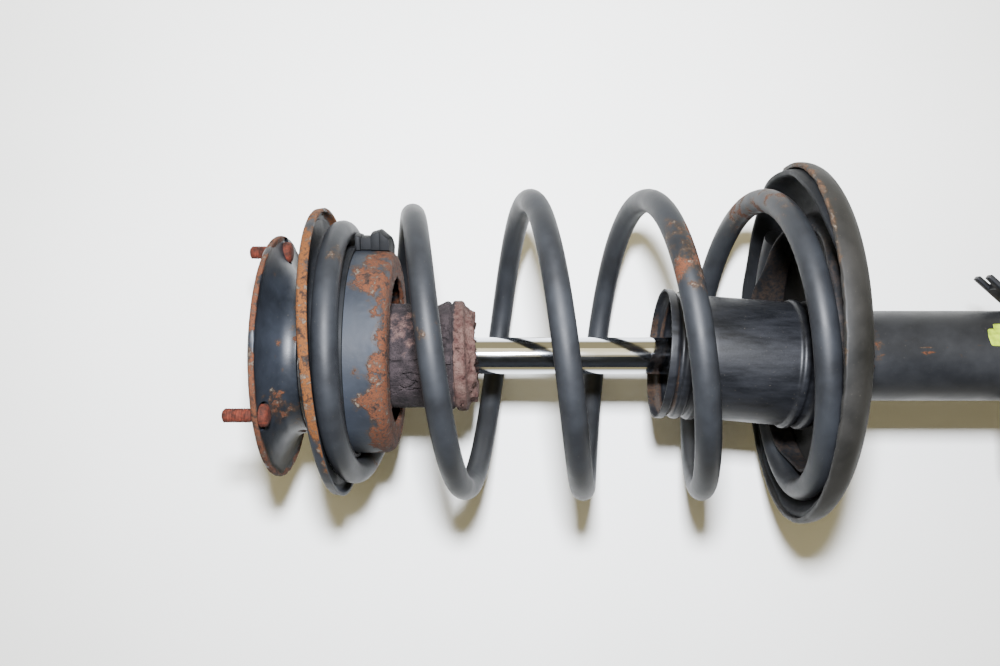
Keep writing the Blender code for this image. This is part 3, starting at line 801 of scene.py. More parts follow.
def round_edges(piece: Piece, width_mm: float) -> None:
    """Bevels a piece's sharp edges and shades it again."""
    bevel = piece.modifiers.new("rounding", "BEVEL")
    bevel.width = width_mm * MM
    bevel.segments = 3
    bevel.limit_method = "ANGLE"
    bevel.angle_limit = math.radians(50.0)
    solidified(piece)
    shade(piece.data)


Wear = Callable[[float, float, float, Vector], float]


def wear_down(piece: Piece, amount: Wear) -> None:
    """Stores how worn each point of a piece is.

    Args:
        piece: The piece.
        amount: Gives the wear from a point's station, radius, angle and place.
    """
    mesh = piece.data
    values = np.empty(len(mesh.vertices), np.float32)
    for index, vertex in enumerate(mesh.vertices):
        values[index] = amount(*AXIS.read(vertex.co), vertex.co)
    attribute = mesh.attributes.get(WEAR) or mesh.attributes.new(WEAR, "FLOAT", "POINT")
    attribute.data.foreach_set("value", values)


def fit(piece: Piece, finish: Finish, body: Body, slot: str, *nodes: str, wear: Wear | None = None) -> None:
    """Finishes a piece: its wear, its material, its body and the CAD nodes it stands for.

    Args:
        piece: The finished mesh.
        finish: Its finish.
        body: The body that it moves with.
        slot: The record's material slot; not used.
        nodes: CAD nodes that it replaces.
        wear: Gives each point's wear.
    """
    if wear is not None:
        wear_down(piece, wear)
    piece.data.materials.clear()
    piece.data.materials.append(finish.material())
    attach(piece, body.value)
    if nodes:
        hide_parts(*nodes)
    LOG.info("%s: %d faces on %s", piece.name, len(piece.data.polygons), body.value)


def repaint(node: str, finish: Finish) -> None:
    """Gives a CAD node that stays in view its finish."""
    slots = frame["nodes"][node].material_slots
    for slot in slots:
        slot.material = finish.material()
    LOG.info("%s: kept from the frame", node)


def joined_mesh(name: str, pieces: Sequence[Piece]) -> Piece:
    """Puts several pieces of one body into one mesh and removes them.

    Args:
        name: The new piece's name.
        pieces: Finished meshes at the origin.

    Returns:
        The new piece.
    """
    shape = bmesh.new()
    for piece in pieces:
        shape.from_mesh(piece.data)
        bpy.data.objects.remove(piece)
    return placed(name, mesh_of(name, shape), 50.0)


# --------------------------------------------------------------------------- grown pieces


def new_tree(name: str, sizes: dict[str, float | None]) -> tuple[Tree, Sockets]:
    """Makes a geometry tree with named inputs.

    Args:
        name: The tree's name.
        sizes: Inputs with their usual values, in metres or plain numbers; None stands for an object.

    Returns:
        The tree, and the sockets that its inputs arrive by.
    """
    tree = bpy.data.node_groups.new(name, "GeometryNodeTree")
    for label, value in sizes.items():
        kind = "NodeSocketObject" if value is None else "NodeSocketFloat"
        socket = tree.interface.new_socket(label, in_out="INPUT", socket_type=kind)
        if value is not None:
            socket.default_value = value
    tree.interface.new_socket("Material", in_out="INPUT", socket_type="NodeSocketMaterial")
    tree.interface.new_socket("Geometry", in_out="OUTPUT", socket_type="NodeSocketGeometry")
    return tree, add_node(tree, "NodeGroupInput").node.outputs


def close_tree(tree: Tree, given: Sockets, geometry: bpy.types.NodeSocket) -> Tree:
    """Ends a geometry tree with real, smooth geometry in its material, and gives it back."""
    real = add_node(tree, "GeometryNodeRealizeInstances", {"Geometry": geometry})
    soft = add_node(tree, "GeometryNodeSetShadeSmooth", {"Geometry": real})
    dressed = add_node(tree, "GeometryNodeSetMaterial", {"Geometry": soft, "Material": given["Material"]})
    add_node(tree, "NodeGroupOutput", {"Geometry": dressed})
    return tree


def grow(name: str, tree: Tree, finish: Finish, values: dict[str, object]) -> bpy.types.Mesh:
    """Runs a geometry tree and gives its result as a plain mesh.

    Args:
        name: The mesh's name.
        tree: The tree.
        finish: The finish that it sets.
        values: Values for its other inputs, by name.

    Returns:
        The mesh.
    """
    seed = linked(f"{name}_seed", bpy.data.meshes.new(f"{name}_seed"))
    step = seed.modifiers.new(name, "NODES")
    step.node_group = tree
    values = {**values, "Material": finish.material()}
    for item in tree.interface.items_tree:
        if item.item_type == "SOCKET" and item.in_out == "INPUT":
            step[item.identifier] = values[item.name]
    mesh = evaluated(seed)
    mesh.name = name
    bpy.data.objects.remove(seed)
    return mesh


def thread_tree() -> Tree:
    """Makes the tree that winds a thread's ridge along local +Z."""
    tree, size = new_tree("thread", {"Radius": 0.004, "Pitch": 0.00125, "Length": 0.015, "Depth": 0.0006})
    turns = add_node(tree, "ShaderNodeMath", {0: size["Length"], 1: size["Pitch"]}, operation="DIVIDE")
    radius = add_node(tree, "ShaderNodeMath", {0: size["Radius"], 1: size["Depth"]}, operation="SUBTRACT")
    spiral = {"Resolution": 24, "Rotations": turns, "Start Radius": radius, "End Radius": radius}
    helix = add_node(tree, "GeometryNodeCurveSpiral", {**spiral, "Height": size["Length"]})
    profile = {"Resolution": 4, "Radius": size["Depth"]}
    ridge = add_node(tree, "GeometryNodeCurvePrimitiveCircle", profile, mode="RADIUS")
    wound = add_node(tree, "GeometryNodeCurveToMesh", {"Curve": helix, "Profile Curve": ridge, "Fill Caps": True})
    return close_tree(tree, size, wound)


def bead_tree() -> Tree:
    """Makes the tree that lays overlapping weld ripples round an arc in local XY."""
    sizes = {"Radius": 0.03, "Sweep": 6.2832, "Count": 90.0, "Width": 0.004, "Start": 0.0}
    tree, size = new_tree("weld_bead", sizes)
    sweep = {"Resolution": 64, "Radius": size["Radius"], "Start Angle": size["Start"], "Sweep Angle": size["Sweep"]}
    arc = add_node(tree, "GeometryNodeCurveArc", sweep, mode="RADIUS")
    count = add_node(tree, "FunctionNodeFloatToInt", {0: size["Count"]})
    points = add_node(tree, "GeometryNodeCurveToPoints", {"Curve": arc, "Count": count}, mode="COUNT").node.outputs
    ripple = add_node(tree, "GeometryNodeMeshUVSphere", {"Segments": 10, "Rings": 7, "Radius": size["Width"]})
    flat = add_node(tree, "ShaderNodeCombineXYZ", {0: 0.55, 1: 0.62, 2: 0.5})
    jitter = add_node(tree, "FunctionNodeRandomValue", {2: 0.85, 3: 1.15, "Seed": 7}, 1, data_type="FLOAT")
    scaled = add_node(tree, "ShaderNodeVectorMath", {0: flat, "Scale": jitter}, operation="SCALE")
    laid = {"Points": points["Points"], "Instance": ripple, "Rotation": points["Rotation"], "Scale": scaled}
    return close_tree(tree, size, add_node(tree, "GeometryNodeInstanceOnPoints", laid))


@dataclass
class CoilSpring:
    """The coil spring: dead coil at the top, four free coils and the last coil in the pan."""

    wire: float = 7.0
    top_station: float = 57.3
    pitch: float = 69.0
    first: float = -0.22
    last: float = 4.9
    radius_top: float = 71.3
    radius: float = 85.5
    shift: tuple[float, float] = (2.6, 6.8)
    rise: tuple[float, float] = (0.0, 0.85)
    fall: tuple[float, float] = (4.03, 4.69)
    pan_lean_deg: float = 3.1
    points_per_turn: int = 72
    sides: int = 24

    def ease_in(self, turn: float, start: float, end: float) -> float:
        """Gives the integral of a slope that eases from 0 to 1 between two turns."""
        width = end - start
        share = ramp(turn, start, end)
        return width * (share**3 - share**4 / 2) + max(turn - end, 0.0)

    def climb(self, turn: float) -> float:
        """Gives how far the wire has gone along the rod axis after a number of turns, in mm."""
        return self.pitch * (self.ease_in(turn, *self.rise) - self.ease_in(turn, *self.fall))

    def centre(self, turn: float) -> tuple[float, float, float]:
        """Gives the wire's centre after a number of turns.

        Args:
            turn: Turns from the wire's highest point at the top mount's end.

        Returns:
            Station, and the offsets toward world +Y and +Z, in mm.
        """
        angle = 2.0 * math.pi * turn
        widen = smooth(turn, 0.4, 1.6)
        reach = self.radius_top + (self.radius - self.radius_top) * widen
        station = self.top_station + self.climb(turn)
        upward = reach * math.sin(angle)
        station -= math.tan(math.radians(self.pan_lean_deg)) * upward * smooth(turn, 3.6, 4.3)
        shift = self.shift[0] + (self.shift[1] - self.shift[0]) * widen
        return station, reach * math.cos(angle) + shift, upward

    def tree(self) -> Tree:
        """Makes the tree that sweeps the wire's round section along a line of points in order."""
        tree, given = new_tree("spring_wire", {"Wire Radius": self.wire * MM, "Path": None})
        spine = {"Object": given["Path"]}
        line = add_node(tree, "GeometryNodeObjectInfo", spine, "Geometry", transform_space="ORIGINAL")
        curve = add_node(tree, "GeometryNodeMeshToCurve", {"Mesh": line})
        share = add_node(tree, "GeometryNodeSplineParameter", out="Factor")
        stored = {"Geometry": curve, "Name": "along_wire", "Value": share}
        marked = add_node(tree, "GeometryNodeStoreNamedAttribute", stored, data_type="FLOAT", domain="POINT")
        ring = {"Resolution": self.sides, "Radius": given["Wire Radius"]}
        section = add_node(tree, "GeometryNodeCurvePrimitiveCircle", ring, mode="RADIUS")
        swept = {"Curve": marked, "Profile Curve": section, "Fill Caps": True}
        return close_tree(tree, given, add_node(tree, "GeometryNodeCurveToMesh", swept))

    def path(self) -> Piece:
        """Makes the line of points that the wire follows."""
        count = round((self.last - self.first) * self.points_per_turn)
        places = []
        for index in range(count + 1):
            turn = self.first + (self.last - self.first) * index / count
            station, out, up = self.centre(turn)
            place = AXIS.place(station, 0.0, 0.0)
            places.append(place + Vector((0.0, out * MM, up * MM)))
        mesh = bpy.data.meshes.new("wire_path")
        mesh.from_pydata(places, [(index, index + 1) for index in range(count)], [])
        return linked("wire_path", mesh)

    def build(self) -> None:
        """Builds the spring, wears it and lets it close up as the damper slides."""
        line = self.path()
        mesh = grow("spring_wire", self.tree(), SPRING_PAINT, {"Wire Radius": self.wire * MM, "Path": line})
        bpy.data.objects.remove(line)
        piece = placed("spring_wire", mesh)
        shares = np.empty(len(mesh.vertices), np.float32)
        mesh.attributes["along_wire"].data.foreach_get("value", shares)
        turns = self.first + (self.last - self.first) * shares
        self.wear(mesh, turns)
        piece.data.materials.clear()
        piece.data.materials.append(SPRING_PAINT.material())
        seat = AXIS.place(self.centre(0.0)[0], 0.0, 0.0)
        pan = AXIS.place(self.centre(self.last)[0], 0.0, 0.0)
        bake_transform(piece, Body.UPPER_SEAT.value, Body.DAMPER.value, start=seat, end=pan)
        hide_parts("coil_spring")
        self.keep_wire_round(mesh, turns)
        LOG.info("%s: %d faces between seat and pan", piece.name, len(mesh.polygons))

    def keep_wire_round(self, mesh: bpy.types.Mesh, turns: np.ndarray) -> None:
        """Lets each cross-section of the wire move as one, so that the wire stays round.

        Args:
            mesh: The spring's mesh.
            turns: Each point's number of turns along the wire.
        """
        start = self.centre(0.0)[0]
        length = self.centre(self.last)[0] - start
        shares = [min(max(self.climb(turn) / length, 0.0), 1.0) for turn in turns]
        mesh.attributes["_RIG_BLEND"].data.foreach_set("value", np.array(shares, np.float32))

    def wear(self, mesh: bpy.types.Mesh, turns: np.ndarray) -> None:
        """Stores where stones and water have taken the spring's paint off.

        Args:
            mesh: The spring's mesh.
            turns: Each point's number of turns along the wire.
        """
        values = np.full(len(turns), 0.12, np.float32)
        bare = ((3.105, 0.035, 0.5), (3.055, 0.018, 0.4), (3.93, 0.05, 0.52), (4.03, 0.06, 0.4))
        bare += ((1.085, 0.02, 0.3), (0.08, 0.02, 0.34), (0.43, 0.02, 0.4), (3.33, 0.008, 0.3))
        for middle, width, amount in bare:
            values += amount * np.exp(-(((turns - middle) / width) ** 2))
        values += 0.14 * np.clip(turns - 3.9, 0.0, 1.0)
        mesh.attributes.new(WEAR, "FLOAT", "POINT").data.foreach_set("value", values)


# --------------------------------------------------------------------------- sub-assemblies


@dataclass
class TopMount:
    """The pressed plate with its studs, and the rubber, cup, washer and nut in its middle."""

    sheet: float = 4.0
    curl: float = 2.6
    waist: float = 46.0
    chips: tuple[tuple[float, float], ...] = ((28.5, 1.4), (31.0, 1.71), (30.0, 1.98), (36.5, 0.9), (37.0, 1.35))
    bore: float = 43.0
    mouth: float = 32.0
    stud_circle: float = 62.0
    stud_radius: float = 4.0
    thread_pitch: float = 1.25
    pocket: float = 8.2
    clamp_hole: float = 7.5

    def build(self) -> None:
        """Builds every piece of the top mount."""
        self.plate()
        threads = thread_tree()
        for index in range(3):
            self.stud(index, threads)
        self.rubber()
        self.cup()
        repaint("bearing_upper_race", MACHINED)

    def plate(self) -> None:
        """Turns the spool-shaped plate and cuts its stud holes and pockets."""
        place = span("mount_plate")
        face, end, rim = place.start, place.end, place.radius
        back = face + self.sheet
        corners = [
            (face, self.mouth, 1.0), (face, 64.0, 5.0), (face + self.curl, rim, 1.3), (back + 1.7, rim, 1.3),
            (back + 0.9, 67.0, 3.0), (back + 2.0, 60.0, 6.0), (back + 5.0, 53.0, 6.0), (back + 9.5, 47.6, 5.0),
            (end - 4.0, self.waist, 3.0), (end, self.waist, 0.8), (end, self.bore, 0.8), (back - 1.0, self.bore, 1.0),
            (back - 1.0, self.mouth, 1.0),
        ]

        def weathered(form: Form) -> Form:
            point = AXIS.place(*form)
            edge = smooth(form.radius, rim - 8.0, rim)
            bite = grain(point, 7.0, 5, 3.0) * 0.55 * edge
            return Form(form.station + bite * 0.5, form.radius - abs(bite), form.angle)

        plate = revolve("mount_plate_skin", corners, 180, 1.6, weathered)
        cutters = []
        for index in range(3):
            angle = 2.0 * math.pi * index / 3
            ends = [AXIS.place(station, self.stud_circle, angle) for station in (face - 5, face + 12)]
            cutters.append(cylinder(f"stud_hole_{index}", self.stud_radius + 0.3, *ends))
            ends = [AXIS.place(station, self.stud_circle + 1.0, angle) for station in (back, back + 16)]
            cutters.append(cylinder(f"stud_pocket_{index}", self.pocket, *ends))
        cut(plate, cutters)
        shade(plate.data)

        def bare(station: float, radius: float, angle: float, point: Vector) -> float:
            wander = 2.5 * grain(point, 12.0, 3, 7.0)
            edge = 0.72 * smooth(radius + wander, rim - 5.0, rim - 1.0)
            low = 0.3 * smooth(station, end - 9.0, end - 1.0)
            lobe = 0.36 * spot(station, angle, (back + 7.0, 2.25), (12.0, 0.4))
            seams = 0.34 * grain(point, 12.0, 4, 11.0)
            chips = sum(0.45 * spot(station, angle, chip, (2.4, 0.06)) for chip in self.chips)
            top_face = 0.45 * smooth(station, face + 1.5, face + 0.5) if station < face + 1.0 else 0.0
            return 0.12 + edge + low + lobe + seams + chips + top_face

        fit(plate, PLATE_PAINT, Body.TOP_MOUNT, "painted_pressing", "mount_plate", wear=bare)

    def stud(self, index: int, threads: Tree) -> None:
        """Makes one rusted stud with its thread and its head.

        Args:
            index: Which stud, counted from world +Y.
            threads: The thread's tree.
        """
        node = f"mount_stud_{index + 1}"
        place = span(node)
        head = place.end - 5.0
        core = self.stud_radius - 0.55
        centre = AXIS.place(0.0, self.stud_circle, 2.0 * math.pi * index / 3)
        corners = [
            (place.start, 0.0), (place.start, core - 0.9, 0.4), (place.start + 1.0, core, 0.4), (head - 4.4, core),
            (head - 4.0, self.stud_radius), (head, self.stud_radius), (head, place.radius, 0.6),
            (place.end - 1.4, place.radius, 1.0), (place.end - 0.2, place.radius - 1.8, 1.0), (place.end, 0.0),
        ]

        def scaled(form: Form) -> Form:
            point = AXIS.place(*form)
            return Form(form.station, form.radius * (1.0 + 0.02 * grain(point, 2.0, 4, 5.0 + index)), form.angle)

        body = revolve(f"stud_body_{index + 1}", corners, 48, 0.9, scaled, False, 4)
        offset = centre - AXIS.place(0.0, 0.0, 0.0)
        body.data.transform(Matrix.Translation(offset))
        length = (head - 4.5 - place.start - 0.7) * MM
        sizes = {"Radius": self.stud_radius * MM, "Pitch": self.thread_pitch * MM, "Length": length, "Depth": 0.62 * MM}
        ridge = grow(f"stud_thread_{index + 1}", threads, BARE_RUST, sizes)
        start = Matrix.Translation(offset + Vector(((place.start + 0.7) * MM, 0.0, 0.0)))
        ridge.transform(start @ AXIS.matrix())
        joined = joined_mesh(f"stud_{index + 1}", [body, placed(f"ridge_{index + 1}", ridge, 60.0)])
        fit(joined, BARE_RUST, Body.TOP_MOUNT, "rusted_steel", node)

    def rubber(self) -> None:
        """Turns the bonded rubber ring."""
        place = span("mount_rubber")
        corners = [
            (place.start, 31.0, 1.0), (place.start, place.radius, 1.0), (place.end, place.radius, 1.0),
            (place.end, 39.0, 1.5), (place.end - 4.5, 30.0, 5.0), (place.end - 4.5, 18.4, 1.0),
            (place.start + 2.8, 18.4, 1.0), (place.start + 5.5, 25.0, 5.0),
        ]
        ring = revolve("mount_rubber_ring", corners, 120, 2.0)
        fit(ring, RUBBER, Body.TOP_MOUNT, "rubber", "mount_rubber", wear=lambda *_: 0.25)

    def cup(self) -> None:
        """Turns the steel cup, its washer and the hexagon nut."""
        place = span("mount_sleeve")
        radius, hole = place.radius, self.clamp_hole
        corners = [
            (place.start, radius, 0.8), (place.end, radius, 2.0), (place.end, hole, 0.3),
            (place.end - 3.0, hole, 0.3), (place.end - 3.0, radius - 2.2, 1.5), (place.start, radius - 2.2, 0.8),
        ]
        cup = revolve("mount_cup", corners, 96, 2.0)
        fit(cup, PLATE_PAINT, Body.TOP_MOUNT, "bare_steel", "mount_sleeve", wear=lambda *_: 0.5)
        place = span("rod_washer")
        corners = [
            (place.start, hole, 0.2), (place.start, place.radius, 0.6), (place.end, place.radius, 0.6),
            (place.end, hole, 0.2),
        ]
        washer = revolve("clamp_washer", corners, 64)
        fit(washer, BARE_RUST, Body.TOP_MOUNT, "rusted_steel", "rod_washer")
        self.nut()

    def nut(self) -> None:
        """Makes the hexagon nut with turned-down corners."""
        place = span("rod_nut")
        low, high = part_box("rod_nut")
        points = []
        across = (high.y - low.y) / 2 / MM
        for step in range(6):
            angle = math.pi / 2 + math.pi / 3 * step
            points.append(AXIS.place(place.start, across, angle + math.pi / 2))
        push = Vector(((place.end - place.start) * MM, 0.0, 0.0))
        nut = extrude("clamp_nut", points, push)
        ends = [AXIS.place(station, 0.0, 0.0) for station in (place.start - 2, place.end + 2)]
        cut(nut, [cylinder("nut_bore", self.clamp_hole - 0.1, *ends)])
        round_edges(nut, 0.7)
        fit(nut, BARE_RUST, Body.TOP_MOUNT, "rusted_steel", "rod_nut")


@dataclass
class UpperSeat:
    """The leaning spring seat, the cup inside the first coil and the rubber between them."""

    lean_deg: float = 4.0
    lean_from: float = 49.0
    lean_to: float = 64.0
    sheet: float = 2.2
    dish: float = 1.7
    shift: float = 2.6
    seat_station: float = 47.8
    hub_sheet: float = 2.5
    hub_shoulder: float = 12.0
    hub_mouth: float = 44.0

    def build(self) -> None:
        """Builds every piece of the upper seat."""
        self.flange()
        self.hub()
        self.pad()
        repaint("bearing_lower_race", MACHINED)
        repaint("bearing_cage", PLASTIC)
        for name in frame["nodes"]:
            if name.startswith("bearing_ball"):
                repaint(name, MACHINED)

    def leaned(self, form: Form, share: float) -> Form:
        """Leans a point of the seat by its share of the seat's lean."""
        rise = math.tan(math.radians(self.lean_deg)) * form.radius * math.cos(form.angle)
        return Form(form.station - share * rise, form.radius, form.angle, share * self.shift)

    def flange(self) -> None:
        """Presses the seat's flange with its turned-up rim."""
        rim = span("upper_spring_seat").radius
        top = self.seat_station
        under = top + self.sheet
        corners = [
            (top, 33.0, 0.6), (top, 49.0, 5.0), (top - self.dish, 64.0, 5.0), (top - self.dish, 80.0, 4.0),
            (top, rim - 0.8, 1.5), (top + 5.2, rim, 0.9), (top + 5.2, rim - 2.4, 0.9), (top + 1.8, rim - 3.4, 1.5),
            (under - self.dish, 79.0, 3.0), (under - self.dish, 64.0, 5.0), (under, 49.0, 5.0), (under, 33.0, 0.6),
        ]

        def pressed(form: Form) -> Form:
            share = ramp(form.radius, self.lean_from, self.lean_to)
            leaned = self.leaned(form, share)
            point = AXIS.place(*leaned)
            edge = smooth(form.radius, rim - 4.0, rim)
            bite = abs(grain(point, 9.0, 5, 2.0)) * 0.5 * edge
            return leaned._replace(station=leaned.station + bite * 0.4, radius=leaned.radius - bite)

        seat = revolve("upper_seat_pressing", corners, 220, 1.8, pressed)

        def bare(station: float, radius: float, angle: float, point: Vector) -> float:
            edge = (0.58 + 0.3 * spot(0.0, angle, (0.0, 1.8), (1.0, 0.6))) * smooth(radius, rim - 3.5, rim - 1.0)
            return 0.12 + edge + 0.2 * grain(point, 18.0, 3, 4.0)

        fit(seat, SEAT_PAINT, Body.UPPER_SEAT, "painted_pressing", "upper_spring_seat", wear=bare)

    def hub(self) -> None:
        """Presses the cup with its rolled-in end, where water has sat and rust is thickest."""
        place = span("spring_hub")
        radius, end, start = place.radius, place.end, place.start
        shoulder = self.hub_shoulder
        inner = radius - self.hub_sheet
        corners = [
            (start, 34.0, 0.6), (start, 45.0, 2.0), (55.8, 57.5, 3.0), (57.5, radius, 1.6),
            (end, radius, shoulder * 1.25), (end, self.hub_mouth, 1.2), (end - self.hub_sheet, self.hub_mouth, 1.0),
            (end - self.hub_sheet, inner, shoulder), (59.0, inner, 1.0), (57.8, inner - 2.6, 1.0),
            (start + self.hub_sheet, 44.0, 1.5), (start + self.hub_sheet, 34.0, 0.6),
        ]

        def flaked(form: Form) -> Form:
            point = AXIS.place(*form)
            heavy = smooth(form.station, 66.0, 82.0)
            scale = max(grain(point, 6.0, 5, 9.0), -0.4) * 0.75 * heavy
            if form.station > end - 6.0 and form.radius < radius - shoulder * 0.6:
                return Form(form.station - abs(scale), form.radius + scale * 0.7, form.angle, self.shift)
            return Form(form.station, form.radius - abs(scale) * 0.8, form.angle, self.shift)

        cup = revolve("spring_cup", corners, 240, 1.1, flaked, arc_steps=12)

        def bare(station: float, radius: float, angle: float, point: Vector) -> float:
            wander = 6.0 * grain(point, 15.0, 4, 6.0)
            heavy = 0.62 * smooth(station + wander, 71.0, 83.0)
            upper = 0.42 * spot(station, angle, (71.0, 0.7), (8.0, 0.5))
            tongue = 0.45 * spot(station, angle, (72.0, 1.66), (4.0, 0.1))
            lower = 0.4 * spot(station, angle, (73.0, 2.0), (7.0, 0.18))
            spared = 0.34 * spot(station, angle, (76.0, 1.32), (8.0, 0.26))
            inside = 0.5 * smooth(radius, inner + 0.5, inner - 1.0)
            return 0.1 + heavy + upper + tongue + lower + inside - spared

        fit(cup, HUB_PAINT, Body.UPPER_SEAT, "painted_pressing", "spring_hub", wear=bare)

    def pad(self) -> None:
        """Moulds the rubber pad: flange, sleeve and the ribbed stop where the wire leaves."""
        low = self.seat_station + self.sheet - self.dish + 0.35
        high = low + 1.1
        inner = span("spring_hub").radius + 0.35
        corners = [
            (low, 66.0, 0.3), (low, 79.0, 0.4), (high, 79.0, 0.4), (high, 66.5, 2.0), (high + 5.0, 63.0, 2.0),
            (65.8, 62.8, 0.6), (65.8, inner, 0.4), (60.0, inner, 2.0), (high - 0.2, 64.2, 1.0),
        ]

        def moulded(form: Form) -> Form:
            share = ramp(form.radius, 62.8, 66.0) * (1.0 - ramp(form.station, 52.0, 60.0))
            wave = 1.0 if form.station < 64.0 else 1.0 + 0.004 * math.sin(9.0 * form.angle)
            leaned = self.leaned(form, share)
            return Form(leaned.station, leaned.radius * wave, leaned.angle, self.shift)

        sleeve = revolve("pad_sleeve", corners, 160, 2.0, moulded)
        pad = joined_mesh("upper_pad", [sleeve, self.stop_block(inner)])
        wear_down(pad, lambda station, radius, angle, point: 0.12 + 0.15 * grain(point, 12.0))
        fit(pad, RUBBER, Body.UPPER_SEAT, "rubber", "upper_spring_pad")

    def stop_block(self, inner: float) -> Piece:
        """Moulds the pad's ribbed stop on the world +Y side.

        Args:
            inner: The radius that the block sits on, in mm.

        Returns:
            The block.
        """
        shape = bmesh.new()
        lumps = (
            (65.0, 68.0, 71.6, 70.6, 13.0),
            (67.6, 76.0, 69.8, 69.8, 10.5),
            (74.4, 79.6, 72.0, 73.5, 13.5),
            (79.6, 85.0, 73.5, 69.0, 14.0),
        )
        for start, end, tall_start, tall_end, half_deg in lumps:
            corners = []
            for station, tall in ((start, tall_start), (end, tall_end)):
                for step in range(-3, 4):
                    angle = math.radians(half_deg) * step / 3
                    round_off = 1.0 - 0.012 * step * step / 9 * 2
                    corners.append(shape.verts.new(AXIS.place(station, tall * round_off, angle, self.shift)))
                    corners.append(shape.verts.new(AXIS.place(station, inner + 0.2, angle, self.shift)))
            bmesh.ops.convex_hull(shape, input=corners)
        stop = finished("pad_stop", shape)
        round_edges(stop, 0.9)
        return stop


@dataclass
class RodAndBumpStop:
    """The chromed rod, the perished bump stop on it and the pieces inside the damper."""

    rod: float = 11.0
    stub: float = 7.0
    neck: float = 34.4
    piston_station: float = 319.65
    bore: float = 11.7
    foam: float = 31.7

    def build(self) -> None:
        """Builds the rod and the bump stop."""
        self.shaft()
        self.bump_stop()
        for name in ("rebound_stop", "piston", "piston_nut"):
            repaint(name, MACHINED)
        repaint("piston_band", BRONZE)

    def shaft(self) -> None:
        """Turns the rod with a thread on its upper stub."""
        place = span("piston_rod")
        neck, end = self.neck, place.end
        core = self.stub - 0.6
        corners = [
            (place.start, 0.0), (place.start, core - 1.0, 0.5), (place.start + 1.2, core, 0.4), (neck - 9.0, core),
            (neck - 8.6, self.stub), (neck, self.stub), (neck, self.rod, 1.0), (self.piston_station, self.rod, 0.8),
            (self.piston_station, 6.0), (end, 6.0, 0.8), (end, 0.0),
        ]
        rod = revolve("rod_shaft", corners, 96, closed=False)
        sizes = {"Radius": self.stub * MM, "Pitch": 1.5 * MM, "Length": 19.0 * MM, "Depth": 0.65 * MM}
        ridge = grow("rod_thread", bpy.data.node_groups["thread"], CHROME, sizes)
        ridge.transform(Matrix.Translation(((place.start + 0.8) * MM, 0.0, 0.0)) @ AXIS.matrix())
        joined = joined_mesh("rod_chromed", [rod, placed("rod_ridge", ridge, 60.0)])
        fit(joined, CHROME, Body.TOP_MOUNT, "chrome", "piston_rod")

    def bump_stop(self) -> None:
        """Carves the foam: a cracked body, a bell, a moulded ring and a torn end."""
        place = span("bump_stop")
        end = place.end
        corners = [
            (place.start, self.bore, 1.0), (place.start, self.foam - 0.5, 2.0), (end - 29.0, self.foam - 0.6, 2.0),
            (end - 25.5, 29.3, 3.0), (end - 18.5, 32.8, 2.0), (end - 15.6, 32.4, 1.5), (end - 14.4, 30.6, 0.8),
            (end - 13.4, 32.9, 1.2), (end - 7.4, 33.1, 1.6), (end - 6.2, 29.4, 1.6), (end - 0.6, 28.2, 2.0),
            (end - 1.0, 20.0, 2.0), (end - 5.0, self.bore + 0.6, 1.5),
        ]

        def perished(form: Form) -> Form:
            tilt = smooth(form.station, end - 20.0, end - 13.0) * 0.05
            station = form.station - tilt * form.radius * math.cos(form.angle) * 0.9
            point = AXIS.place(station, form.radius, form.angle)
            skin = form.radius > 22.0
            torn = smooth(form.station, end - 7.0, end - 1.0)
            ragged = torn * (2.6 * grain(point, 9.0, 5, 21.0) - 1.2)
            lump = 0.35 * grain(point, 5.0, 5, 17.0) if skin else 0.0
            crack = self.crack(point, form.station, end) if skin else 0.0
            radius = min(form.radius + lump - crack + min(ragged, 0.4) * 0.8, place.radius)
            return Form(min(station + min(ragged, 0.3), end), max(radius, self.bore), form.angle)

        foam = revolve("bump_foam", corners, 300, 0.75, perished)

        def raw(station: float, radius: float, angle: float, point: Vector) -> float:
            ring = 0.5 * smooth(station, end - 15.0, end - 12.5)
            band = 0.28 * spot(station, angle, (end - 40.0, 0.9), (12.0, 0.7))
            return 0.16 + ring + band + 0.1 * grain(point, 10.0, 3, 8.0)

        fit(foam, FOAM, Body.TOP_MOUNT, "foam", "bump_stop", wear=raw)
        start = AXIS.place(place.start, 0.0, 0.0)
        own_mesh(foam)

    def crack(self, point: Vector, station: float, end: float) -> float:
        """Gives how deep a crack is at a point of the foam.

        Args:
            point: The point in the shared frame.
            station: Its station in mm; not used.
            end: The foam's last station in mm; not used.

        Returns:
            The depth in mm.
        """
        stretched = Vector((point.x, point.y * 2.2, point.z * 2.2))
        fold = abs(grain(stretched, 30.0, 3, 31.0))
        split = max(0.0, 1.0 - fold / 0.035)
        where = grain(point, 40.0, 2, 44.0)
        depth = 2.4 * smooth(where, -0.05, 0.25)
        return split * depth


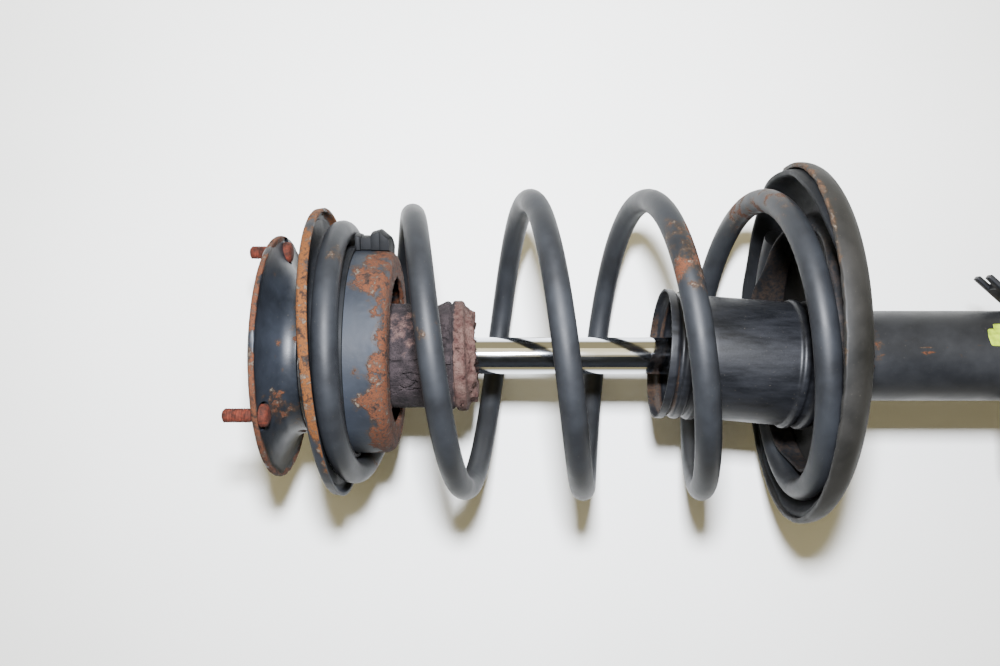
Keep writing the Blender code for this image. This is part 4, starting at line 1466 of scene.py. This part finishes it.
@dataclass
class DustTube:
    """The loose plastic tube over the damper's head, with a bell mouth and ribbed ends."""

    outer: float = 38.4
    wall: float = 1.2
    shift: float = 1.5
    lean_deg: float = 4.8
    start: float = 245.5
    length: float = 95.5

    def build(self) -> None:
        """Builds the tube, leaning a little off the rod axis."""
        corners = self.skin()
        inner = [Corner(c.station, c.radius - self.wall, c.fillet) for c in reversed(corners)]
        slope = math.tan(math.radians(self.lean_deg))

        def leaning(form: Form) -> Form:
            sag = 1.0 + 0.008 * math.cos(2.0 * form.angle + 0.6) * smooth(form.station, 40.0, 0.0)
            radius = form.radius * sag
            side = self.shift - slope * form.station
            back = slope * radius * math.cos(form.angle)
            return Form(self.start + form.station + back, radius, form.angle, side)

        tube = revolve("dust_tube_skin", corners + inner, 200, 1.5, leaning, arc_steps=6)

        def soiled(station: float, radius: float, angle: float, point: Vector) -> float:
            y = (point.y - AXIS.y) / MM - self.shift + slope * (station - self.start)
            z = (point.z - AXIS.z) / MM
            depth = math.hypot(y, z)
            skin_depth = 0.6 if station < self.start + 5.5 else 2.7
            inside = 0.5 * smooth(depth, self.outer - skin_depth, self.outer - skin_depth - 0.5)
            return inside + 0.08 * grain(point, 14.0)

        fit(tube, PLASTIC, Body.DAMPER, "black_plastic", "dust_tube", wear=soiled)

    def skin(self) -> list[Corner]:
        """Gives the tube's outside from its mouth to its ribbed end."""
        body = self.outer - 1.4
        waist = self.outer - 2.2
        corners = [Corner(0.0, self.outer + 0.1, 0.5), Corner(4.6, self.outer, 1.5), Corner(6.2, waist, 1.2)]
        for start in (8.0, 16.5):
            corners.append(Corner(start, waist, 1.2))
            corners.append(Corner(start + 1.3, self.outer - 0.4, 1.4))
            corners.append(Corner(start + 5.2, self.outer - 0.4, 1.4))
            corners.append(Corner(start + 6.5, waist, 1.2))
        corners.append(Corner(26.0, body - 0.4, 2.0))
        rib = self.length - 22.0
        corners.append(Corner(rib - 4.0, body, 2.0))
        for start in (rib, rib + 9.5):
            corners.append(Corner(start, body, 1.0))
            corners.append(Corner(start + 1.6, self.outer + 0.2, 1.6))
            corners.append(Corner(start + 4.6, self.outer + 0.2, 1.6))
            corners.append(Corner(start + 6.2, body - 0.4, 1.2))
        corners.append(Corner(self.length, body - 0.4, 0.5))
        return corners


@dataclass
class LowerSeat:
    """The spring pan with its lean and offset, its rubber pad and its weld to the tube."""

    sheet: float = 3.0
    lip: float = 322.0
    neck: float = 27.5
    neck_end: float = 360.0
    shift: float = 8.0
    lean_deg: float = 3.1
    lean_from: float = 36.0
    lean_to: float = 88.0

    def leaned(self, form: Form) -> Form:
        """Leans and shifts a point by how far out in the pan it is."""
        share = ramp(form.radius, self.lean_from, self.lean_to)
        rise = math.tan(math.radians(self.lean_deg)) * form.radius * math.sin(form.angle)
        return Form(form.station - share * rise, form.radius, form.angle, share * self.shift)

    def build(self) -> None:
        """Builds the pan, its pad and the weld bead."""
        self.pan()
        self.pad()
        self.bead()

    def pan(self) -> None:
        """Presses the deep pan."""
        lean_slope = 0.054
        rim = span("lower_spring_seat").radius
        inner = rim - self.sheet
        lip = self.lip
        corners = [
            (lip, rim - 0.2, 1.4), (lip + 6.0, rim, 4.0), (lip + 11.5, 104.5, 4.0), (lip + 16.5, 98.5, 4.0),
            (lip + 19.8, 91.0, 5.0), (lip + 21.5, 80.0, 6.0), (lip + 24.5, 60.0, 8.0), (lip + 29.0, 40.0, 5.0),
            (lip + 31.5, 32.0, 3.0), (self.neck_end, 30.6, 1.0), (self.neck_end, self.neck, 0.6),
            (lip + 25.5, self.neck, 1.0), (lip + 25.5, 38.5, 4.0), (lip + 21.4, 60.0, 6.0), (lip + 18.4, 79.0, 5.0),
            (lip + 16.7, 89.8, 4.0), (lip + 13.8, 96.6, 4.0), (lip + 9.6, 101.6, 3.0), (lip + 5.0, inner, 3.0),
            (lip, inner - 0.2, 1.0),
        ]

        def pressed(form: Form) -> Form:
            place = AXIS.place(*form)
            edge = smooth(form.station, self.lip + 4.0, self.lip)
            bite = abs(grain(place, 10.0, 5, 12.0)) * 0.9 * edge
            return self.leaned(Form(form.station + bite, form.radius - bite * 0.3, form.angle))

        pan = revolve("lower_pan", corners, 220, 2.2, pressed, arc_steps=6)

        def bare(station: float, radius: float, angle: float, point: Vector) -> float:
            level = station + lean_slope * radius * math.sin(angle)
            edge = 0.32 * smooth(level, lip + 3.5, lip + 0.5) * smooth(radius, inner - 1.0, rim - 1.0)
            floor_patch = 0.5 * spot(radius, angle, (48.0, 2.55), (9.0, 0.3))
            top = 0.3 * spot(level, angle, (lip + 3.0, 0.5), (5.0, 0.5))
            return 0.1 + edge + floor_patch + top + 0.12 * grain(point, 20.0, 3, 3.0)

        fit(pan, PAN_PAINT, Body.DAMPER, "painted_pressing", "lower_spring_seat", wear=bare)

    def pad(self) -> None:
        """Moulds the grooved pad that the last coil sits in, with its curled inner lip."""
        lip = self.lip
        start = lip + 2.5
        corners = [
            (start, 103.4, 0.8), (lip + 4.7, 103.4, 2.0), (lip + 9.2, 101.0, 3.0), (lip + 13.4, 96.1, 4.0),
            (lip + 16.3, 89.4, 4.0), (lip + 17.9, 79.0, 3.0), (lip + 18.2, 74.0, 1.0), (lip + 5.5, 73.0, 1.2),
            (lip + 5.5, 75.2, 1.0), (lip + 9.5, 76.8, 3.0), (lip + 14.9, 78.6, 3.0), (lip + 14.9, 89.0, 3.0),
            (lip + 11.5, 93.6, 3.0), (lip + 7.0, 96.9, 3.0), (start, 100.4, 1.2),
        ]

        def moulded(form: Form) -> Form:
            inner = smooth(form.radius, 80.0, 74.0) * smooth(form.station, lip + 14.0, lip + 5.5)
            wave = math.sin(5.0 * form.angle + 1.0) + 0.6 * math.sin(9.0 * form.angle)
            curl = inner * smooth(math.cos(form.angle + 1.3), 0.3, 0.95)
            station = form.station - 8.0 * curl - 1.6 * inner * wave
            radius = form.radius - 5.0 * curl * (0.7 + 0.5 * math.sin(7.0 * form.angle))
            outer = smooth(form.radius, 96.0, 100.0) * smooth(form.station, lip + 8.0, start)
            loose = smooth(math.cos(form.angle + 0.35), -0.1, 0.8)
            ripple = 0.5 * math.sin(11.0 * form.angle + 0.4) + loose * math.sin(6.0 * form.angle)
            lifted = outer * (ripple - 7.5 * loose)
            leaned = self.leaned(Form(station + lifted, form.radius, form.angle))
            return Form(leaned.station, radius - 1.2 * outer * loose, leaned.angle, leaned.shift)

        pad = revolve("lower_pad", corners, 220, 1.8, moulded)

        def soiled(station: float, radius: float, angle: float, point: Vector) -> float:
            return 0.1 + 0.12 * grain(point, 16.0) + 0.2 * smooth(radius, 98.0, 76.0)

        fit(pad, RUBBER, Body.DAMPER, "rubber", "lower_spring_pad", wear=soiled)

    def bead(self) -> None:
        """Lays the weld between the pan's neck and the tube."""
        sizes = {"Radius": 28.6 * MM, "Sweep": 2.0 * math.pi, "Count": 84.0, "Width": 4.2 * MM, "Start": 0.0}
        bead = grow("neck_weld", bead_tree(), TUBE_PAINT, sizes)
        bead.transform(Matrix.Translation(((self.neck_end + 0.6) * MM, 0.0, 0.0)) @ AXIS.matrix())
        piece = placed("neck_weld", bead)
        wear_down(piece, lambda station, radius, angle, point: 0.25 + 0.3 * spot(0.0, angle, (0.0, 1.4), (1.0, 0.8)))
        fit(piece, TUBE_PAINT, Body.DAMPER, "black_paint")


@dataclass
class Damper:
    """The damper's tube, its caps and the brackets on it."""

    radius: float = 27.0
    wall: float = 2.0
    sheet: float = 4.0
    ear_gap: float = 40.0
    ear_reach: float = 86.0
    ear_corner: float = 9.0
    bolt_reach: float = 62.0
    bolt_stations: tuple[float, float] = (502.0, 552.0)
    bolt_hole: float = 7.1
    rod_hole: float = 14.0
    link_round: float = 12.0
    link_hole: float = 6.1

    def build(self) -> None:
        """Builds the damper's outer pieces."""
        self.tube()
        self.caps()
        self.bracket()
        self.hose_tab()
        self.link_tab()
        self.marking()
        for name in ("rod_guide", "pressure_tube", "base_valve"):
            repaint(name, MACHINED)
        repaint("guide_bush", BRONZE)
        repaint("rod_seal", RUBBER)

    def tube(self) -> None:
        """Draws the outer tube and scratches its paint."""
        place = span("damper_tube")
        inner = self.radius - self.wall
        corners = [
            (place.start, self.radius, 0.6), (place.end, self.radius, 0.4), (place.end, inner, 0.4),
            (place.start, inner, 0.4),
        ]
        tube = revolve("damper_shell", corners, 128, 1.6)

        def bare(station: float, radius: float, angle: float, point: Vector) -> float:
            across = Vector((point.x * 0.22, point.y, point.z))
            streak = grain(across, 2.6, 3, 14.0)
            scratched = 0.74 * spot(station, angle, (405.0, 1.36), (24.0, 0.2)) * smooth(streak, 0.0, 0.5)
            near_pan = 0.52 * spot(station, angle, (366.0, 1.32), (5.0, 0.5))
            return 0.1 + scratched + near_pan + 0.05 * streak

        fit(tube, TUBE_PAINT, Body.DAMPER, "black_paint", "damper_tube", wear=bare)

    def caps(self) -> None:
        """Turns the crimped top cap and the domed bottom cap."""
        place = span("bump_cap")
        skirt = self.radius + 0.35
        corners = [
            (place.start, self.rod_hole, 0.4), (place.start, place.radius - 1.6, 1.6),
            (place.start + 2.4, place.radius, 1.6), (place.end, place.radius, 0.6), (place.end, skirt, 0.3),
            (place.start + 2.5, skirt, 0.6), (place.start + 2.5, self.rod_hole, 0.4),
        ]
        cap = revolve("bump_cap_skin", corners, 96, 2.0)
        fit(cap, MACHINED, Body.DAMPER, "bare_steel", "bump_cap")
        place = span("tube_end_cap")
        corners = [
            (place.start, 0.0), (place.start, self.radius, 0.4), (place.start + 2.6, self.radius, 2.6),
            (place.end - 2.0, 22.0, 3.0), (place.end, 13.0, 4.0), (place.end, 0.0),
        ]
        dome = revolve("end_dome", corners, 96, 2.0, closed=False)
        wear_down(dome, lambda station, radius, angle, point: 0.22 + 0.25 * grain(point, 12.0))
        fit(dome, TUBE_PAINT, Body.DAMPER, "black_paint", "tube_end_cap")

    def ear_outline(self, place: Span) -> list[Vector]:
        """Gives the folded bracket's section at its first station.

        Args:
            place: The bracket's span.

        Returns:
            The section's points in order.
        """
        inner = self.radius + 0.45
        outer = inner + self.sheet
        half = self.ear_gap / 2
        section = [(half + self.sheet, self.ear_reach)]
        for radius, rise, sign in ((outer, half + self.sheet, 1.0), (inner, half, -1.0)):
            start = math.asin(rise / radius)
            stretch = 2.0 * math.pi - 2.0 * start
            for step in range(49):
                angle = sign * (start + stretch * step / 48)
                section.append((radius * math.sin(angle), radius * math.cos(angle)))
            if sign > 0:
                section.append((-half - self.sheet, self.ear_reach))
                section.append((-half, self.ear_reach))
        section.append((half, self.ear_reach))
        base = AXIS.place(place.start, 0.0, 0.0)
        return [base + Vector((0.0, out, up)) * MM for up, out in section]

    def bracket(self) -> None:
        """Folds the knuckle bracket, drills its bolt holes and rounds its ears."""
        place = span("knuckle_bracket")
        push = Vector(((place.end - place.start) * MM, 0.0, 0.0))
        bracket = extrude("knuckle_fold", self.ear_outline(place), push)
        cutters = []
        for index, station in enumerate(self.bolt_stations):
            middle = AXIS.place(station, self.bolt_reach, 0.0)
            reach = Vector((0.0, 0.0, 0.04))
            cutters.append(cylinder(f"bolt_hole_{index}", self.bolt_hole, middle - reach, middle + reach))
        across = 2 * (self.ear_corner + 5.0) * MM
        for index, station in enumerate((place.start, place.end)):
            corner = AXIS.place(station, self.ear_reach, 0.0)
            cutters.append(block(f"ear_corner_{index}", corner, Vector((across, across, 0.08)), math.pi / 4))
        cut(bracket, cutters)
        round_edges(bracket, 0.6)
        fit(bracket, TUBE_PAINT, Body.DAMPER, "black_paint", "knuckle_bracket", wear=self.edge_wear)
        for name, station in (("upper", place.start - 0.4), ("lower", place.end + 0.4)):
            sizes = {"Radius": 28.4 * MM, "Sweep": 4.4, "Count": 58.0, "Width": 4.0 * MM, "Start": 2.5}
            bead = grow(f"{name}_weld", bpy.data.node_groups["weld_bead"], TUBE_PAINT, sizes)
            bead.transform(Matrix.Translation((station * MM, 0.0, 0.0)) @ AXIS.matrix())
            piece = placed(f"{name}_weld", bead)
            fit(piece, TUBE_PAINT, Body.DAMPER, "black_paint", wear=self.edge_wear)

    def edge_wear(self, station: float, radius: float, angle: float, point: Vector) -> float:
        """Gives the brackets' wear: stone chips that grow toward the ears' ends."""
        return 0.16 + 0.28 * grain(point, 14.0, 4, 19.0) + 0.22 * smooth(radius, 45.0, 88.0)

    def tab(self, name: str, node: str, line: Outline, cutter: Piece, bevel_mm: float) -> None:
        """Makes a tab: plate cut to a line, a hole or a slot, and rounded edges.

        Args:
            name: The tab's name.
            node: The CAD node that it replaces.
            line: Its outline, as stations and reaches toward world +Y in mm.
            cutter: The solid that cuts its hole.
            bevel_mm: How much its edges are rounded.
        """
        low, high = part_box(node)
        half = Vector((0.0, 0.0, (high.z - low.z) / 2))
        tab = extrude(name, [AXIS.place(station, out, 0.0) - half for station, out in line], half * 2)
        cut(tab, [cutter])
        round_edges(tab, bevel_mm)
        fit(tab, TUBE_PAINT, Body.DAMPER, "black_paint", node, wear=self.edge_wear)

    def hose_tab(self) -> None:
        """Bends the hose tab and cuts its slot."""
        low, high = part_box("hose_bracket")
        foot = self.radius + 0.4
        first, last = ((value - AXIS.start) / MM for value in (low.x, high.x))
        line = [(last, foot), (last, foot + 3), (last - 12, foot + 3), (first + 2, foot + 21.1)]
        line += [(first, foot + 18.9), (last - 13.4, foot)]
        slot = block("hose_slot", AXIS.place(first + 1.0, foot + 17.0, 0.0), Vector((0.013, 0.014, 0.008)))
        self.tab("hose_tab", "hose_bracket", line, slot, 0.7)

    def link_tab(self) -> None:
        """Rounds the end of the anti-roll bar link's tab and drills it."""
        low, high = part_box("link_bracket")
        first, last = ((value - AXIS.start) / MM for value in (low.x, high.x))
        middle = (first + last) / 2
        foot = -self.radius - 0.4
        hole = (low.y - AXIS.y) / MM + self.link_round
        line = [(first, foot), (last, foot)]
        for step in range(25):
            angle = math.radians(-20.0 - 140.0 * step / 24)
            line.append((middle + self.link_round * math.cos(angle), hole + self.link_round * math.sin(angle)))
        centre, rod = AXIS.place(middle, hole, 0.0), Vector((0.0, 0.0, 0.02))
        drill = cylinder("link_hole", self.link_hole, centre - rod, centre + rod)
        self.tab("link_tab", "link_bracket", line, drill, 0.6)

    def marking(self) -> None:
        """Lays plain dabs of marking paint on the tube, with no lettering."""
        shape = bmesh.new()
        skin = self.radius + 0.12
        for middle, angle, length, width in ((434.5, 1.14, 8.0, 0.2), (438.5, 0.92, 7.0, 0.12)):
            grid = []
            for row in range(9):
                line = []
                for column in range(13):
                    along = length * (column / 12.0 - 0.5)
                    across = width * (row / 4.0 - 1.0)
                    taper = math.sqrt(max(0.0, 1.0 - (2.0 * along / length) ** 6)) * 0.9 + 0.1
                    place = AXIS.place(middle + along, skin, angle + across * taper)
                    line.append(shape.verts.new(place))
                grid.append(line)
            for upper, lower in zip(grid, grid[1:]):
                for column in range(12):
                    shape.faces.new((upper[column], upper[column + 1], lower[column + 1], lower[column]))
        dabs = finished("paint_dabs", shape)
        wall = dabs.modifiers.new("thickness", "SOLIDIFY")
        wall.thickness = 0.1 * MM
        wall.offset = 0.0
        solidified(dabs)
        fit(dabs, MARKER, Body.DAMPER, "black_paint")


# --------------------------------------------------------------------------- studio


@dataclass(frozen=True)
class Studio:
    """The floor, the lights and the camera over the strut."""

    sensor_mm: float = 36.0
    lens_mm: float = 31.7
    height_mm: float = 530.0
    centre_station: float = 150.0
    centre_out: float = 13.6
    floor_m: float = 6.0
    key_watts: float = 26.0
    key_size: float = 0.06
    bounce_watts: float = 9.0
    sky: float = 0.6

    def build(self) -> None:
        """Builds the whole studio."""
        self.floor()
        self.lights()
        self.camera()

    def floor(self) -> None:
        """Lays the paper under the strut."""
        shape = bmesh.new()
        bmesh.ops.create_grid(shape, x_segments=1, y_segments=1, size=self.floor_m / 2)
        paper = linked("paper", mesh_of("paper", shape))
        paper.data.materials.append(PAPER.material())

    def lights(self) -> None:
        """Fills with an even sky, and hangs a small key light and a wide bounce on the +Y side."""
        world = bpy.data.worlds.new("studio_sky")
        world.use_nodes = True
        background = world.node_tree.nodes["Background"]
        background.inputs["Color"].default_value = srgb("#FFEDB4")
        background.inputs["Strength"].default_value = self.sky
        bpy.context.scene.world = world
        middle = AXIS.place(self.centre_station, 0.0, 0.0)
        key = middle + Vector((0.0, 0.145, 0.56))
        self.panel("key", key, middle, (self.key_size, self.key_size), self.key_watts, "#F1F5FF")
        self.panel("bounce", middle + Vector((0.0, 0.75, 1.45)), middle, (1.6, 1.2), self.bounce_watts, "#FFF0C4")
        self.card(middle)

    def panel(
        self, name: str, place: Vector, target: Vector, size: tuple[float, float], watts: float, tint: str
    ) -> None:
        """Hangs a light panel.

        Args:
            name: The light's name.
            place: Where it hangs, in metres.
            target: What it faces.
            size: Its sides in metres.
            watts: Its power.
            tint: Its colour, as sRGB hex.
        """
        lamp = bpy.data.lights.new(name, "AREA")
        lamp.color = srgb(tint)[:3]
        lamp.shape = "RECTANGLE"
        lamp.size, lamp.size_y = size
        lamp.energy = watts
        holder = linked(name, lamp)
        holder.location = place
        holder.rotation_euler = (target - place).to_track_quat("-Z", "Y").to_euler()

    def card(self, middle: Vector) -> None:
        """Stands a dark card on the -Y side, which gives the chrome its dark band."""
        corners = []
        for out, up in ((-0.10, 1.30), (-0.95, 0.22)):
            for side in (-1.3, 1.3):
                corners.append(middle + Vector((side, out, up)))
        mesh = bpy.data.meshes.new("dark_card")
        mesh.from_pydata(corners, [], [(0, 1, 3, 2)])
        mesh.materials.append(CARD.material())
        card = linked("dark_card", mesh)
        card.visible_camera = False

    def camera(self) -> None:
        """Sets the camera straight above the strut's upper half."""
        lens = bpy.data.cameras.new("camera")
        lens.lens = self.lens_mm
        lens.sensor_width = self.sensor_mm
        lens.clip_start = 0.01
        holder = linked("camera", lens)
        middle = AXIS.place(self.centre_station, self.centre_out, 0.0)
        holder.location = middle + Vector((0.0, 0.0, self.height_mm * MM))
        bpy.context.scene.camera = holder


def main() -> None:
    """Builds the strut from top mount to brackets, then the studio."""
    logging.basicConfig(level=logging.INFO, format="%(name)s %(message)s")
    TopMount().build()
    UpperSeat().build()
    CoilSpring().build()
    RodAndBumpStop().build()
    DustTube().build()
    LowerSeat().build()
    Damper().build()
    Studio().build()


if __name__ == "__main__":
    main()
